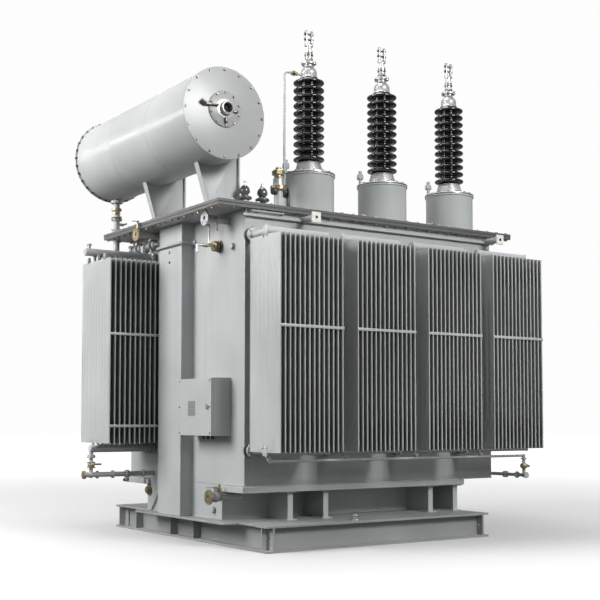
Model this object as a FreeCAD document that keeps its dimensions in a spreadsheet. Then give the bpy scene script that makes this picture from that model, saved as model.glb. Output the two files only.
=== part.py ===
import FreeCAD, Part
import math
import os
import re
import Sketcher

# Three-phase oil-immersed power transformer on a steel skid.
# Millimetres. +Z up, +X along the tank's long side, -Y the front with four radiators.
# The origin is the middle of the skid's underside.

doc = FreeCAD.newDocument("transformer")
dims = doc.addObject("Spreadsheet::Sheet", "dims")

# ---------------------------------------------------------------- driving dimensions
SIZES = {
    # skid of rolled beams
    "skid_half_length": 1250, "skid_half_width": 1475, "skid_height": 227, "beam_flange": 20,
    "beam_width": 170, "beam_web": 16, "ledge_reach": 1400, "tow_hole": 15, "tow_inset": 55,
    "end_plate_inset": 70, "deck_thick": 10,
    "anchor_x": 1050, "anchor_y": 1437, "anchor_hole": 13,
    # tank
    "tank_left": 1253, "tank_right": 1635, "tank_half_width": 1118, "tank_floor": 536,
    "tank_top": 2970, "wall": 10, "well_half_width": 737, "well_right": 1200,
    "girder_bottom": 480, "girder_lip": 37, "post_depth": 350, "post_web": 14,
    "post_face": 56, "post_face_thick": 14, "band_bottom": 2877, "band_high": 28, "band_lip": 35,
    "column_depth": 132, "column_front": 201, "column_rear": 255,
    # cover joint
    "cover_left": 1553, "cover_right": 1878, "cover_half_width": 1175, "rim_thick": 25,
    "gasket_thick": 6, "cover_thick": 24, "bolt_inset": 35, "bolt_pitch": 130, "bolt_head": 17,
    "bolt_head_high": 13, "nut_high": 16,
    # pressed-steel radiators
    "fin_first": -1282, "fin_pitch": 48.5, "fin_count": 14, "fin_thick": 14, "radiator_pitch": 794.5,
    "fin_outer": 1726, "fin_inner": 1247, "fin_bottom": 839, "fin_top": 2663, "header_radius": 39,
    "header_place": 1486, "header_low": 849, "header_high": 2700,
    "branch_place": 47, "branch_radius": 30, "strap_middle": 1888, "strap_high": 25,
    "strap_thick": 6, "branch_flange": 65, "branch_flange_thick": 16, "wafer_thick": 40,
    "end_fin_first": -1886, "end_fin_pitch": 52, "end_fin_count": 12, "end_fin_front": 271,
    "end_fin_rear": 925, "end_fin_bottom": 890, "end_fin_top": 2640, "end_header_high": 2717,
    "end_header_low": 838, "end_header_radius": 37, "end_strap_high": 1919, "end_strap_low": 1054,
    # conservator
    "drum_x": 1458, "drum_z": 3756, "drum_radius": 403, "drum_front": 1100, "drum_rear": 1186,
    "drum_wall": 6, "drum_cover_thick": 14, "saddle_front": 800, "saddle_rear": 221,
    "saddle_plate": 14, "saddle_flange": 70, "feed_pipe_y": 1075, "feed_pipe_radius": 32,
    # high-voltage bushings
    "bushing_first": -198, "bushing_pitch": 897.5, "bushing_y": 560, "turret_radius": 244,
    "turret_top": 3455, "turret_flange": 254, "turret_flange_thick": 18, "shed_bottom": 3584,
    "shed_top": 4412, "shed_count": 11, "shed_radius": 150, "core_radius": 88, "shed_thick": 26,
    "dome_radius": 80, "terminal_top": 4890,
    # control box on the end wall
    "box_depth": 180, "box_near": 890, "box_far": 281, "box_bottom": 970, "box_top": 1480,
    "box_sheet": 3, "door_thick": 20, "door_gap": 1, "hinge_radius": 7, "knuckle_gap": 0.5, "pin_radius": 4,
    "running_fit": 0.05,
    # drain and filter valves, DN40
    "drain_y": 850, "drain_z": 440, "drain_reach": 1458, "valve_flange_radius": 65,
    "valve_flange_thick": 16, "valve_hole_circle": 50, "valve_hole": 7, "valve_bore": 20,
    "pipe_radius": 24, "filter_y": 826, "filter_z": 2878, "filter_reach": 1495,
    "throttle_y": 334, "throttle_z": 2886, "throttle_reach": 1600,
    "stem_radius": 6, "stem_deep": 18, "drain_line_z": 762, "drain_line_radius": 12,
    "drop_x": 1716, "left_drop_x": 1917,
    "tap_y": 686, "tap_z": 2666, "manifold_z": 590, "right_z": 573, "feed_low": 2790,
    "trunnion_z": 2895, "trunnion_radius": 30, "trunnion_reach": 185, "trunnion_block_high": 18,
    "keeper_side": 92, "trunnion_left": 656, "trunnion_right": 1560, "cover_top": 3000,
    "port_flange": 160, "port_hub": 85, "port_bore": 43, "port_raise": 34,
    "saddle_right": 1136, "saddle_left": 1450, "saddle_head": 1585, "shed_bottom_gap": 38,
    "lead_hole": 24, "tail_deep": 420,
    # core and windings
    "limb_pitch": 760, "limb_radius": 150, "core_bottom": 237, "core_top": 2560, "yoke_high": 260,
    "lv_radius": 230, "hv_radius": 340, "winding_gap": 12,
}
for row, (word, value) in enumerate(SIZES.items(), start=1):
    dims.set("A%d" % row, word)
    dims.set("B%d" % row, str(value))
    dims.setAlias("B%d" % row, word)
doc.recompute()

X, Y, Z = FreeCAD.Vector(1, 0, 0), FreeCAD.Vector(0, 1, 0), FreeCAD.Vector(0, 0, 1)
nodes = []


# ---------------------------------------------------------------- small tools
def formula(text):
    """A size or place in the sheet's words, with each word made a reference to the sheet."""
    return re.sub(r"[a-z][a-z_]+", lambda word: "dims." + word.group(), str(text))


def bind(item, **sizes):
    for name, text in sizes.items():
        item.setExpression(name, formula(text))
    return item


def put(item, place, turn=None):
    """Stand an object at a place given in the sheet's words, its own Z turned to `turn`."""
    if turn is not None:
        item.Placement = FreeCAD.Placement(FreeCAD.Vector(), FreeCAD.Rotation(Z, turn))
    for letter, text in zip("xyz", place):
        item.setExpression("Placement.Base." + letter, formula(text))
    return item


def box(name, size, place):
    item = bind(doc.addObject("Part::Box", name), Length=size[0], Width=size[1], Height=size[2])
    return put(item, place)


def rod(name, radius, length, place, along=Z):
    return put(bind(doc.addObject("Part::Cylinder", name), Radius=radius, Height=length), place, along)


def cone(name, low, high, length, place, along=Z):
    item = doc.addObject("Part::Cone", name)
    return put(bind(item, Radius1=low, Radius2=high, Height=length), place, along)


def ball(name, radius, place):
    return put(bind(doc.addObject("Part::Sphere", name), Radius=radius), place)


def hexagon(name, radius, length, place, along=Z):
    item = doc.addObject("Part::Prism", name)
    item.Polygon = 6
    return put(bind(item, Circumradius=radius, Height=length), place, along)


def fuse(name, *items):
    joined = doc.addObject("Part::MultiFuse", name)
    joined.Shapes = list(items)
    return joined


def cut(name, base, *tools):
    tool = tools[0] if len(tools) == 1 else fuse(name + "_tools", *tools)
    result = doc.addObject("Part::Cut", name)
    result.Base = base
    result.Tool = tool
    return result


def group(name, *items):
    """Several separate solids kept as one sub-part."""
    together = doc.addObject("Part::Compound", name)
    together.Links = list(items)
    return together


def node(name, item):
    item.Label = name
    nodes.append(item)
    return item


def sketch(body, plane, name, offset="0"):
    """A sketch on one of the body's own origin planes, moved along the plane's normal."""
    flat = body.newObject("Sketcher::SketchObject", name)
    base = [feature for feature in body.Origin.OriginFeatures if feature.Role == plane][0]
    flat.AttachmentSupport = [(base, "")]
    flat.MapMode = "FlatFace"
    flat.setExpression("AttachmentOffset.Base.z", formula(offset))
    return flat


def outline(flat, corners):
    """A closed outline of straight edges, each corner held from the sketch's origin."""
    first = flat.GeometryCount
    count = len(corners)
    turn = 2 * math.pi / count
    guess = [FreeCAD.Vector(math.cos(k * turn), math.sin(k * turn), 0) for k in range(count)]
    for k in range(count):
        flat.addGeometry(Part.LineSegment(guess[k], guess[(k + 1) % count]), False)
    for k in range(count):
        flat.addConstraint(Sketcher.Constraint("Coincident", first + k, 2, first + (k + 1) % count, 1))
    for k, corner in enumerate(corners):
        for kind, text in zip(("DistanceX", "DistanceY"), corner):
            index = flat.addConstraint(Sketcher.Constraint(kind, -1, 1, first + k, 1, guess[k].x))
            flat.setExpression("Constraints[%d]" % index, formula(text))


def circle(flat, centre, radius):
    drawn = flat.addGeometry(Part.Circle(FreeCAD.Vector(1, 1, 0), Z, 10), False)
    for kind, text in zip(("DistanceX", "DistanceY"), centre):
        index = flat.addConstraint(Sketcher.Constraint(kind, -1, 1, drawn, 3, 1.0))
        flat.setExpression("Constraints[%d]" % index, formula(text))
    index = flat.addConstraint(Sketcher.Constraint("Radius", drawn, 10.0))
    flat.setExpression("Constraints[%d]" % index, formula(radius))


def pad(body, flat, length, name):
    item = body.newObject("PartDesign::Pad", name)
    item.Profile = flat
    return bind(item, Length=length)


def pocket(body, flat, length, name):
    """Cut along the sketch's own normal."""
    item = body.newObject("PartDesign::Pocket", name)
    item.Profile = flat
    item.Reversed = True
    return bind(item, Length=length)


def axis_of(body, role):
    return [feature for feature in body.Origin.OriginFeatures if feature.Role == role][0]


def row_of(body, feature, role, pitch, count, name):
    """The feature again and again along one of the body's own axes."""
    item = body.newObject("PartDesign::LinearPattern", name)
    item.Originals = [feature]
    item.Direction = (axis_of(body, role), [""])
    item.Mode = "Spacing"
    bind(item, Offset=pitch, Occurrences=count)
    body.Tip = item
    return item


def ring_of(body, feature, role, count, name):
    item = body.newObject("PartDesign::PolarPattern", name)
    item.Originals = [feature]
    item.Axis = (axis_of(body, role), [""])
    item.Angle = 360
    item.Occurrences = count
    body.Tip = item
    return item


def turned(body, corners, name):
    """A solid turned about the body's own Z axis: corners are (radius, height)."""
    flat = sketch(body, "XZ_Plane", name + "_outline")
    outline(flat, corners)
    item = body.newObject("PartDesign::Revolution", name)
    item.Profile = flat
    item.ReferenceAxis = (flat, ["V_Axis"])
    item.Angle = 360
    return item


# ---------------------------------------------------------------- skid
def beam_section(flat, middle):
    """An I-section standing on zero, its web over `middle`."""
    half, web = "beam_width / 2", "beam_web / 2"
    top = "skid_height"
    outline(flat, [
        (f"{middle} - {half}", "0"), (f"{middle} + {half}", "0"),
        (f"{middle} + {half}", "beam_flange"), (f"{middle} + {web}", "beam_flange"),
        (f"{middle} + {web}", f"{top} - beam_flange"), (f"{middle} + {half}", f"{top} - beam_flange"),
        (f"{middle} + {half}", top), (f"{middle} - {half}", top),
        (f"{middle} - {half}", f"{top} - beam_flange"), (f"{middle} - {web}", f"{top} - beam_flange"),
        (f"{middle} - {web}", "beam_flange"), (f"{middle} - {half}", "beam_flange")])


def long_rail(name, side):
    """One long beam, closed near each end by a plate between its flanges."""
    rail = doc.addObject("PartDesign::Body", name)
    flat = sketch(rail, "YZ_Plane", name + "_section", "-skid_half_length")
    beam_section(flat, f"{side} * (skid_half_width - beam_width / 2)")
    pad(rail, flat, "2 * skid_half_length", name + "_beam")
    plates = []
    for end in (-1, 1):
        plates.append(box(f"{name}_plate{end + 1}", ("beam_web", "beam_width",
                                                     "skid_height - 2 * beam_flange"),
                          (f"{end} * (skid_half_length - end_plate_inset) - beam_web / 2",
                           f"{side} * (skid_half_width - beam_width / 2) - beam_width / 2",
                           "beam_flange")))
    hole = rod(name + "_tow", "tow_hole", "2 * skid_half_length",
               ("-skid_half_length", f"{side} * (skid_half_width - tow_inset)", "skid_height / 2"), X)
    anchors = [rod(f"{name}_anchor{end + 1}", "anchor_hole", "3 * beam_flange",
                   (f"{end} * anchor_x", f"{side} * anchor_y", "-beam_flange")) for end in (-1, 1)]
    return cut(name + "_drilled", fuse(name + "_welded", rail, *plates), hole, *anchors)


def cross_rail(name, place):
    rail = doc.addObject("PartDesign::Body", name)
    flat = sketch(rail, "XZ_Plane", name + "_section", "-(skid_half_width - beam_width)")
    beam_section(flat, place)
    pad(rail, flat, "2 * (skid_half_width - beam_width)", name + "_beam")
    return rail


node("skid_long_rails", group("long_rails", long_rail("front_rail", -1), long_rail("rear_rail", 1)))
CROSS_RAILS = (-1165, -768, -384, 0, 425, 850, 1165)
POSTS = (-768, -384, 850, 1165)
node("skid_cross_rails", group("cross_rails", *[
    cross_rail(f"cross_rail_{k}", place) for k, place in enumerate(CROSS_RAILS, start=1)]))


def rib(name, place):
    """A web stiffener that fills the outer side of the left-hand cross beam."""
    reach = "(beam_width - beam_web) / 2"
    return box(name, (reach, "14", "skid_height - 2 * beam_flange"),
               ("-skid_half_length", f"{place} - 7", "beam_flange"))


ledge = box("ledge_plate", ("ledge_reach - skid_half_length", "1700", "beam_flange"),
            ("-ledge_reach", "-1000", "skid_height - beam_flange"))
decks = []
for side in (-1, 1):
    low = "well_half_width" if side > 0 else "-(skid_half_width - beam_width)"
    for k, (left, right) in enumerate(zip(CROSS_RAILS, CROSS_RAILS[1:]), start=1):
        decks.append(box(f"deck_{side + 1}_{k}", (f"{right - left} - beam_width",
                                                  "skid_half_width - beam_width - well_half_width",
                                                  "deck_thick"),
                         (f"{left} + beam_width / 2", low, "skid_height - deck_thick")))
stud_base = cone("earth_stud_base", "36", "22", "24", ("-280", "-1400", "skid_height"))
stud_neck = rod("earth_stud_neck", "11", "40", ("-280", "-1400", "skid_height + 20"))
node("skid_ledge", group("ledge", ledge, rib("ledge_rib_1", "-column_front"),
                         rib("ledge_rib_2", "column_rear"), rib("ledge_rib_3", "1000"), *decks))
node("earth_stud", fuse("earth", stud_base, stud_neck))

# ---------------------------------------------------------------- tank
def rectangle(flat, low, high):
    outline(flat, [(low[0], low[1]), (high[0], low[1]), (high[0], high[1]), (low[0], high[1])])


def tub_layer(tub, word, offset, length, low, high, cutting):
    """A level of a welded tub: a block to add, or a space to cut out of it."""
    flat = sketch(tub, "XY_Plane", word + "_sketch", offset)
    rectangle(flat, low, high)
    if cutting:
        return pocket(tub, flat, length, word)
    return pad(tub, flat, length, word)


# The tank is two tubs welded one on the other: a wide one, and a narrower well on the skid.
well_low, well_high = ("-tank_left", "-well_half_width"), ("well_right", "well_half_width")
space_low = ("-tank_left + wall", "-well_half_width + wall")
space_high = ("well_right - wall", "well_half_width - wall")
well_tub = doc.addObject("PartDesign::Body", "well_tub")
tub_layer(well_tub, "well", "skid_height", "tank_floor - skid_height", well_low, well_high, False)
tub_layer(well_tub, "well_space", "skid_height + wall", "tank_floor - skid_height", space_low, space_high,
          True)
upper_tub = doc.addObject("PartDesign::Body", "upper_tub")
tub_layer(upper_tub, "upper", "tank_floor", "tank_top - tank_floor",
          ("-tank_left", "-tank_half_width"), ("tank_right", "tank_half_width"), False)
tub_layer(upper_tub, "upper_space", "tank_floor + wall", "tank_top - tank_floor",
          ("-tank_left + wall", "-tank_half_width + wall"),
          ("tank_right - wall", "tank_half_width - wall"), True)
tub_layer(upper_tub, "well_opening", "tank_floor", "2 * wall", space_low, space_high, True)
node("tank_shell", group("tank", well_tub, upper_tub))

rim_bottom = "(tank_top - rim_thick)"
stiffeners = []
for side, word in ((-1, "front"), (1, "rear")):
    low = "-tank_half_width - girder_lip" if side < 0 else "well_half_width"
    stiffeners.append(box(word + "_girder", ("tank_left + well_right + 2 * girder_lip",
                                             "tank_half_width + girder_lip - well_half_width",
                                             "tank_floor - girder_bottom"),
                          ("-tank_left - girder_lip", low, "girder_bottom")))
    low = "-tank_half_width - band_lip" if side < 0 else "tank_half_width"
    stiffeners.append(box(word + "_band", ("tank_left + tank_right + 2 * band_lip", "band_lip",
                                           "band_high"),
                          ("-tank_left - band_lip", low, "band_bottom")))
node("tank_stiffeners", group("stiffeners", *stiffeners))

left_column = box("left_column", ("column_depth", "column_front + column_rear",
                                  f"{rim_bottom} - skid_height"),
                  ("-tank_left - column_depth", "-column_front", "skid_height"))
left_column_space = box("left_column_space", ("column_depth", "column_front + column_rear - 2 * wall",
                                              f"{rim_bottom} - skid_height - 2 * wall"),
                        ("-tank_left - column_depth + wall", "-column_front + wall",
                         "skid_height + wall"))
right_column = box("right_column", ("column_depth", "column_front + column_rear",
                                    f"{rim_bottom} - girder_bottom"),
                   ("tank_right", "-column_front", "girder_bottom"))
right_column_space = box("right_column_space", ("column_depth", "column_front + column_rear - 2 * wall",
                                                f"{rim_bottom} - girder_bottom - 2 * wall"),
                         ("tank_right - wall", "-column_front + wall", "girder_bottom + wall"))
node("end_columns", group("columns", cut("left_column_welded", left_column, left_column_space),
                          cut("right_column_welded", right_column, right_column_space)))


def post(name, side, place):
    """A T-shaped post that carries the girder on the skid: a deep web with a face plate."""
    high = "girder_bottom - skid_height"
    outer = f"{side} * (well_half_width + post_depth)"
    web_low = "well_half_width" if side > 0 else "-(well_half_width + post_depth)"
    face_low = outer if side > 0 else f"{outer} - post_face_thick"
    web = box(name + "_web", ("post_web", "post_depth", high),
              (f"{place} - post_web / 2", web_low, "skid_height"))
    face = box(name + "_face", ("post_face", "post_face_thick", high),
               (f"{place} - post_face / 2", face_low, "skid_height"))
    return fuse(name, web, face)


node("tank_posts", group("posts", *[
    post(f"post_{k}_{side + 1}", side, place)
    for side in (-1, 1) for k, place in enumerate(POSTS)]))

# ---------------------------------------------------------------- cover joint
feed_hole = ("-drum_x", "feed_pipe_y")


def joint_plate(word, bottom, thick, opening):
    """A plate with the cover's outline, pierced for the conservator's pipe."""
    plate = doc.addObject("PartDesign::Body", word)
    flat = sketch(plate, "XY_Plane", word + "_sketch", bottom)
    rectangle(flat, ("-cover_left", "-cover_half_width"), ("cover_right", "cover_half_width"))
    if opening:
        rectangle(flat, ("-tank_left", "-tank_half_width"), ("tank_right", "tank_half_width"))
    circle(flat, feed_hole, "feed_pipe_radius + 3")
    if not opening:
        for k in range(3):
            circle(flat, (f"bushing_first + {k} * bushing_pitch", "-bushing_y"), "lead_hole")
    pad(plate, flat, thick, word + "_pad")
    return plate


node("tank_rim", joint_plate("rim", rim_bottom, "rim_thick", True))
node("cover_gasket", joint_plate("gasket", "tank_top", "gasket_thick", True))
node("cover_plate", joint_plate("cover", "tank_top + gasket_thick", "cover_thick", False))


def clear_of_turret(x, y):
    """False where the right-hand turret stands over a bolt, which is then a stud with a nut below."""
    right_turret = SIZES["bushing_first"] + 2 * SIZES["bushing_pitch"]
    room = SIZES["turret_radius"] + SIZES["bolt_head"]
    return math.hypot(x - right_turret, y + SIZES["bushing_y"]) > room


def cover_bolt(x, y):
    """Two solids: the hexagon head on the cover and the nut under the rim."""
    cover_top = SIZES["tank_top"] + SIZES["gasket_thick"] + SIZES["cover_thick"]
    rim_low = SIZES["tank_top"] - SIZES["rim_thick"]
    spans = [(rim_low - SIZES["nut_high"], SIZES["nut_high"])]
    if clear_of_turret(x, y):
        spans.append((cover_top, SIZES["bolt_head_high"]))
    parts = []
    for bottom, high in spans:
        centre = FreeCAD.Vector(x, y, bottom)
        wire = Part.makePolygon([centre + SIZES["bolt_head"] * FreeCAD.Vector(
            math.cos(k * math.pi / 3), math.sin(k * math.pi / 3), 0) for k in range(7)])
        parts.append(Part.Face(wire).extrude(high * Z))
    return parts


def evenly(low, high, pitch):
    count = round((high - low) / pitch)
    return [low + (high - low) * k / count for k in range(count + 1)]


inset = SIZES["bolt_inset"]
bolt_x = evenly(-SIZES["cover_left"] + inset, SIZES["cover_right"] - inset, SIZES["bolt_pitch"])
bolt_y = evenly(-SIZES["cover_half_width"] + inset, SIZES["cover_half_width"] - inset, SIZES["bolt_pitch"])
bolts = []
for x in bolt_x:
    for y in (bolt_y[0], bolt_y[-1]):
        bolts += cover_bolt(x, y)
for y in bolt_y[1:-1]:
    for x in (bolt_x[0], bolt_x[-1]):
        bolts += cover_bolt(x, y)
cover_bolts = doc.addObject("Part::Feature", "cover_bolts")
cover_bolts.Shape = Part.makeCompound(bolts)
node("cover_bolts", cover_bolts)


# ---------------------------------------------------------------- radiators on the long sides
def side_radiator(name, side, number):
    """Pressed-steel fins between two header pipes, with a tie strap and two flanged branches."""
    start = f"(fin_first + {number} * radiator_pitch)"
    length = "(fin_count - 1) * fin_pitch + fin_thick"
    body = doc.addObject("PartDesign::Body", name + "_panels")
    low_header = sketch(body, "YZ_Plane", name + "_low_header", start)
    circle(low_header, (f"{side} * header_place", "header_low"), "header_radius")
    pad(body, low_header, length, name + "_low_pipe")
    fin = sketch(body, "YZ_Plane", name + "_fin", start)
    inner, outer = f"{side} * fin_inner", f"{side} * fin_outer"
    rectangle(fin, (inner, "fin_bottom"), (outer, "fin_top"))
    first = pad(body, fin, "fin_thick", name + "_first_fin")
    row_of(body, first, "X_Axis", "fin_pitch", "fin_count", name + "_fins")
    high_header = sketch(body, "YZ_Plane", name + "_high_header", start)
    circle(high_header, (f"{side} * header_place", "header_high"), "header_radius")
    pad(body, high_header, length, name + "_high_pipe")
    face = "fin_outer" if side > 0 else "-(fin_outer + strap_thick)"
    strap = box(name + "_strap", (length, "strap_thick", "strap_high"),
                (start, face, "strap_middle - strap_high / 2"))
    joined = [body, strap]
    joint = "(tank_half_width + 70 + wafer_thick)"
    for word in ("low", "high"):
        joined.append(rod(f"{name}_{word}_branch", "branch_radius", f"header_place - {joint}",
                          (f"{start} + branch_place", f"{side} * {joint}", f"header_{word}"), side * Y))
        joined.append(rod(f"{name}_{word}_flange", "branch_flange", "branch_flange_thick",
                          (f"{start} + branch_place", f"{side} * {joint}", f"header_{word}"), side * Y))
    return fuse(name, *joined)


def side_valves(side, number):
    """Two butterfly valve bodies between tank and radiator, each with its welded tank stub."""
    centre = f"fin_first + {number} * radiator_pitch + branch_place"
    valves = []
    for word in ("low", "high"):
        name = f"valve_{side + 1}_{number}_{word}"
        stub = rod(name + "_stub", "branch_radius", "70",
                   (centre, f"{side} * tank_half_width", f"header_{word}"), side * Y)
        flange = rod(name + "_flange", "branch_flange", "branch_flange_thick",
                     (centre, f"{side} * (tank_half_width + 54)", f"header_{word}"), side * Y)
        wafer = rod(name + "_wafer", "branch_flange - 8", "wafer_thick",
                    (centre, f"{side} * (tank_half_width + 70)", f"header_{word}"), side * Y)
        spindle = rod(name + "_spindle", "12", "branch_flange + 20",
                      (centre, f"{side} * (tank_half_width + 70 + wafer_thick / 2)", f"header_{word}"), Z)
        valves.append(fuse(name, stub, flange, wafer, spindle))
    return valves


for number in range(4):
    node(f"front_radiator_{number + 1}", side_radiator(f"front_bank_{number + 1}", -1, number))
node("rear_radiators", group("rear_banks", *[
    side_radiator(f"rear_bank_{number + 1}", 1, number) for number in range(4)]))
for side, word in ((-1, "front"), (1, "rear")):
    node(f"{word}_radiator_valves", group(f"{word}_valves", *[
        valve for number in range(4) for valve in side_valves(side, number)]))


# ---------------------------------------------------------------- radiator on the left end wall
def end_radiator():
    """Fins hung under a long header that reaches the tank's end wall."""
    middle = "(end_fin_front + end_fin_rear) / 2"
    length = "(end_fin_count - 1) * end_fin_pitch + fin_thick"
    body = doc.addObject("PartDesign::Body", "end_panels")
    for word, start, reach in (("high", "-2003", "2003 - tank_left"),
                               ("low", "-1935", "1935 - tank_left")):
        header = sketch(body, "YZ_Plane", f"end_{word}_header", start)
        circle(header, (middle, f"end_header_{word}"), "end_header_radius")
        pad(body, header, reach, f"end_{word}_pipe")
        if word == "high":
            neck = sketch(body, "YZ_Plane", "end_neck", "end_fin_first")
            rectangle(neck, (f"{middle} - 22", "end_header_low"), (f"{middle} + 22", "end_header_high"))
            first = pad(body, neck, "fin_thick", "end_first_neck")
            row_of(body, first, "X_Axis", "end_fin_pitch", "end_fin_count", "end_necks")
    fin = sketch(body, "YZ_Plane", "end_fin", "end_fin_first")
    rectangle(fin, ("end_fin_front", "end_fin_bottom"), ("end_fin_rear", "end_fin_top"))
    first = pad(body, fin, "fin_thick", "end_first_fin")
    row_of(body, first, "X_Axis", "end_fin_pitch", "end_fin_count", "end_fins")
    joined = [body]
    for word in ("high", "low"):
        joined.append(box(f"end_{word}_strap", (length, "strap_thick", "strap_high"),
                          ("end_fin_first", "end_fin_front - strap_thick",
                           f"end_strap_{word} - strap_high / 2")))
    joined.append(rod("end_vent", "16", "end_header_radius + 30", ("-1960", middle, "end_header_high")))
    joined.append(hexagon("end_vent_cap", "26", "24", ("-1960", middle, "end_header_high + 62")))
    joined.append(rod("end_drain_stub", "20", "78", ("-left_drop_x", middle, "end_header_low - 78")))
    joined.append(rod("end_drain_flange", "40", "12", ("-left_drop_x", middle, "end_header_low - 78")))
    return fuse("end_radiator_welded", *joined)


node("end_radiator", end_radiator())


# ---------------------------------------------------------------- valves with a turning lever
def lever(name, place, along, reach, direction):
    """A stem, a hub and a flat handle. `place` is the stem's lower end, in the sheet's words."""
    moved = [f"{text} + {value}" for text, value in zip(place, along * (SIZES["stem_deep"] + 0.3))]
    stem = rod(name + "_stem", "stem_radius", "stem_deep + 1", place, along)
    hub = rod(name + "_hub", "13", "14", moved, along)
    half = 9
    low = [0.0, 0.0, 0.0]
    size = [0.0, 0.0, 0.0]
    for k in range(3):
        if direction[k] != 0:
            size[k] = reach
            low[k] = 0 if direction[k] > 0 else -reach
        elif along[k] != 0:
            size[k] = 5
            low[k] = 4.5 if along[k] > 0 else -9.5
        else:
            size[k] = 2 * half
            low[k] = -half
    handle = box(name + "_handle", size, [f"{text} + {value}" for text, value in zip(moved, low)])
    return fuse(name, stem, hub, handle)


def bored_bonnet(name, radius, length, place, along):
    """A valve bonnet and the hole that its stem turns in, as two objects."""
    start = [f"{text} + {value}" for text, value in zip(place, along * 30)]
    bonnet = rod(name + "_bonnet", radius, f"{length} + 30", place, along)
    hole = rod(name + "_hole", "stem_radius + running_fit", f"{length} + 1", start, along)
    return bonnet, hole


def drilled_flange(name, place, along, holes=4):
    """A round flange and its bolt holes, as two objects; the holes stand on the diagonals."""
    disc = rod(name + "_disc", "valve_flange_radius", "valve_flange_thick", place, along)
    tools = []
    for k in range(holes):
        angle = math.pi * (2 * k + 1) / holes
        side = FreeCAD.Rotation(Z, along).multVec(FreeCAD.Vector(math.cos(angle), math.sin(angle), 0))
        spot = [f"{text} + ({round(value, 6)}) * valve_hole_circle - {back}" for text, value, back in
                zip(place, side, along)]
        tools.append(rod(f"{name}_hole_{k}", "valve_hole", "valve_flange_thick + 2", spot, along))
    return disc, tools


def pipe(name, radius, start, runs):
    """Straight runs of one pipe, each a direction and a length, with a ball at every turn."""
    place = list(start)
    parts = []
    for k, (along, length) in enumerate(runs):
        parts.append(rod(f"{name}_run_{k}", radius, length, place, along))
        place = [f"{text} + ({part}) * ({length})" for text, part in zip(place, along)]
        if k < len(runs) - 1:
            parts.append(ball(f"{name}_turn_{k}", radius, place))
    return parts


# drain valve on the front of the tank's well
drain_mouth = ("-drain_reach", "-drain_y", "drain_z")
drain_disc, drain_holes = drilled_flange("drain", drain_mouth, X)
drain_pipe = pipe("drain_pipe", "pipe_radius + 8", drain_mouth,
                  [(X, "drain_reach - 1140"), (Y, "drain_y - well_half_width")])
drain_block = ball("drain_block", "46", ("-1380", "-drain_y", "drain_z"))
drain_bonnet, drain_stem_hole = bored_bonnet("drain", "20", "46", ("-1380", "-drain_y", "drain_z"), Z)
drain_bore = rod("drain_bore", "valve_bore", "60", ("-drain_reach - 1", "-drain_y", "drain_z"), X)
node("drain_valve", cut("drain", fuse("drain_solid", drain_disc, *drain_pipe, drain_block, drain_bonnet),
                        drain_bore, drain_stem_hole, *drain_holes))
node("drain_valve_lever", lever("drain_lever", ("-1380", "-drain_y", "drain_z + 76 - stem_deep"),
                                Z, 95, (-1, 0, 0)))

# filter valve high on the end wall
filter_mouth = ("-filter_reach", "-filter_y", "filter_z")
filter_disc, filter_holes = drilled_flange("filter", filter_mouth, X)
filter_pipe = rod("filter_pipe", "34", "filter_reach - tank_left", filter_mouth, X)
filter_bore = rod("filter_bore", "valve_bore", "60", ("-filter_reach - 1", "-filter_y", "filter_z"), X)
filter_bonnet, filter_stem_hole = bored_bonnet("filter", "17", "28", ("-1400", "-filter_y", "filter_z"),
                                               -1 * Y)
node("filter_valve", cut("filter", fuse("filter_solid", filter_disc, filter_pipe, filter_bonnet),
                         filter_bore, filter_stem_hole, *filter_holes))
node("filter_valve_lever", lever("filter_lever", ("-1400", "-filter_y - 58 + stem_deep", "filter_z"),
                                 -1 * Y, 110, (0, 0, -1)))

# throttle valve beyond the column, its spindle standing clear of the cover's edge
throttle_mouth = ("-throttle_reach", "throttle_y", "throttle_z")
throttle_disc, throttle_holes = drilled_flange("throttle", throttle_mouth, X)
throttle_pipe = rod("throttle_pipe", "34", "throttle_reach - tank_left", throttle_mouth, X)
throttle_bore = rod("throttle_bore", "valve_bore", "40", ("-throttle_reach - 1", "throttle_y",
                                                          "throttle_z"), X)
throttle_bonnet, throttle_stem_hole = bored_bonnet("throttle", "13", "90",
                                                   ("-1576", "throttle_y", "throttle_z"), Z)
node("throttle_valve", cut("throttle", fuse("throttle_solid", throttle_disc, throttle_pipe,
                                            throttle_bonnet),
                           throttle_bore, throttle_stem_hole, *throttle_holes))
node("throttle_valve_lever", lever("throttle_lever", ("-1576", "throttle_y",
                                                      "throttle_z + 120 - stem_deep"),
                                   Z, 60, (-1, 0, 0)))

# sampling tap with its wall flanges, down-turned spout and thin breather pipe
tap = ("-tank_left - 232", "-tap_y", "tap_z")
tap_parts = pipe("tap_pipe", "14", ("-tank_left", "-tap_y", "tap_z"), [(-1 * X, "232"), (-1 * Z, "66")])
for k, (place, radius) in enumerate(((0, 56), (26, 48), (52, 48))):
    tap_parts.append(rod(f"tap_ring_{k}", radius, "14", (f"-tank_left - {place + 14}", "-tap_y",
                                                            "tap_z"), X))
tap_parts += pipe("tap_riser", "9", ("-tank_left - 112", "-tap_y", "tap_z"),
                  [(Z, "184"), (-1 * X, "40")])
tap_bonnet, tap_stem_hole = bored_bonnet("tap", "12", "22", ("-tank_left - 165", "-tap_y", "tap_z"),
                                         -1 * Y)
node("sampling_tap", cut("tap", fuse("tap_solid", *tap_parts, tap_bonnet), tap_stem_hole))
node("sampling_tap_lever", lever("tap_lever", ("-tank_left - 165", "-tap_y - 52 + stem_deep", "tap_z"),
                                 -1 * Y, 60, (1, 0, 0)))

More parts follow.
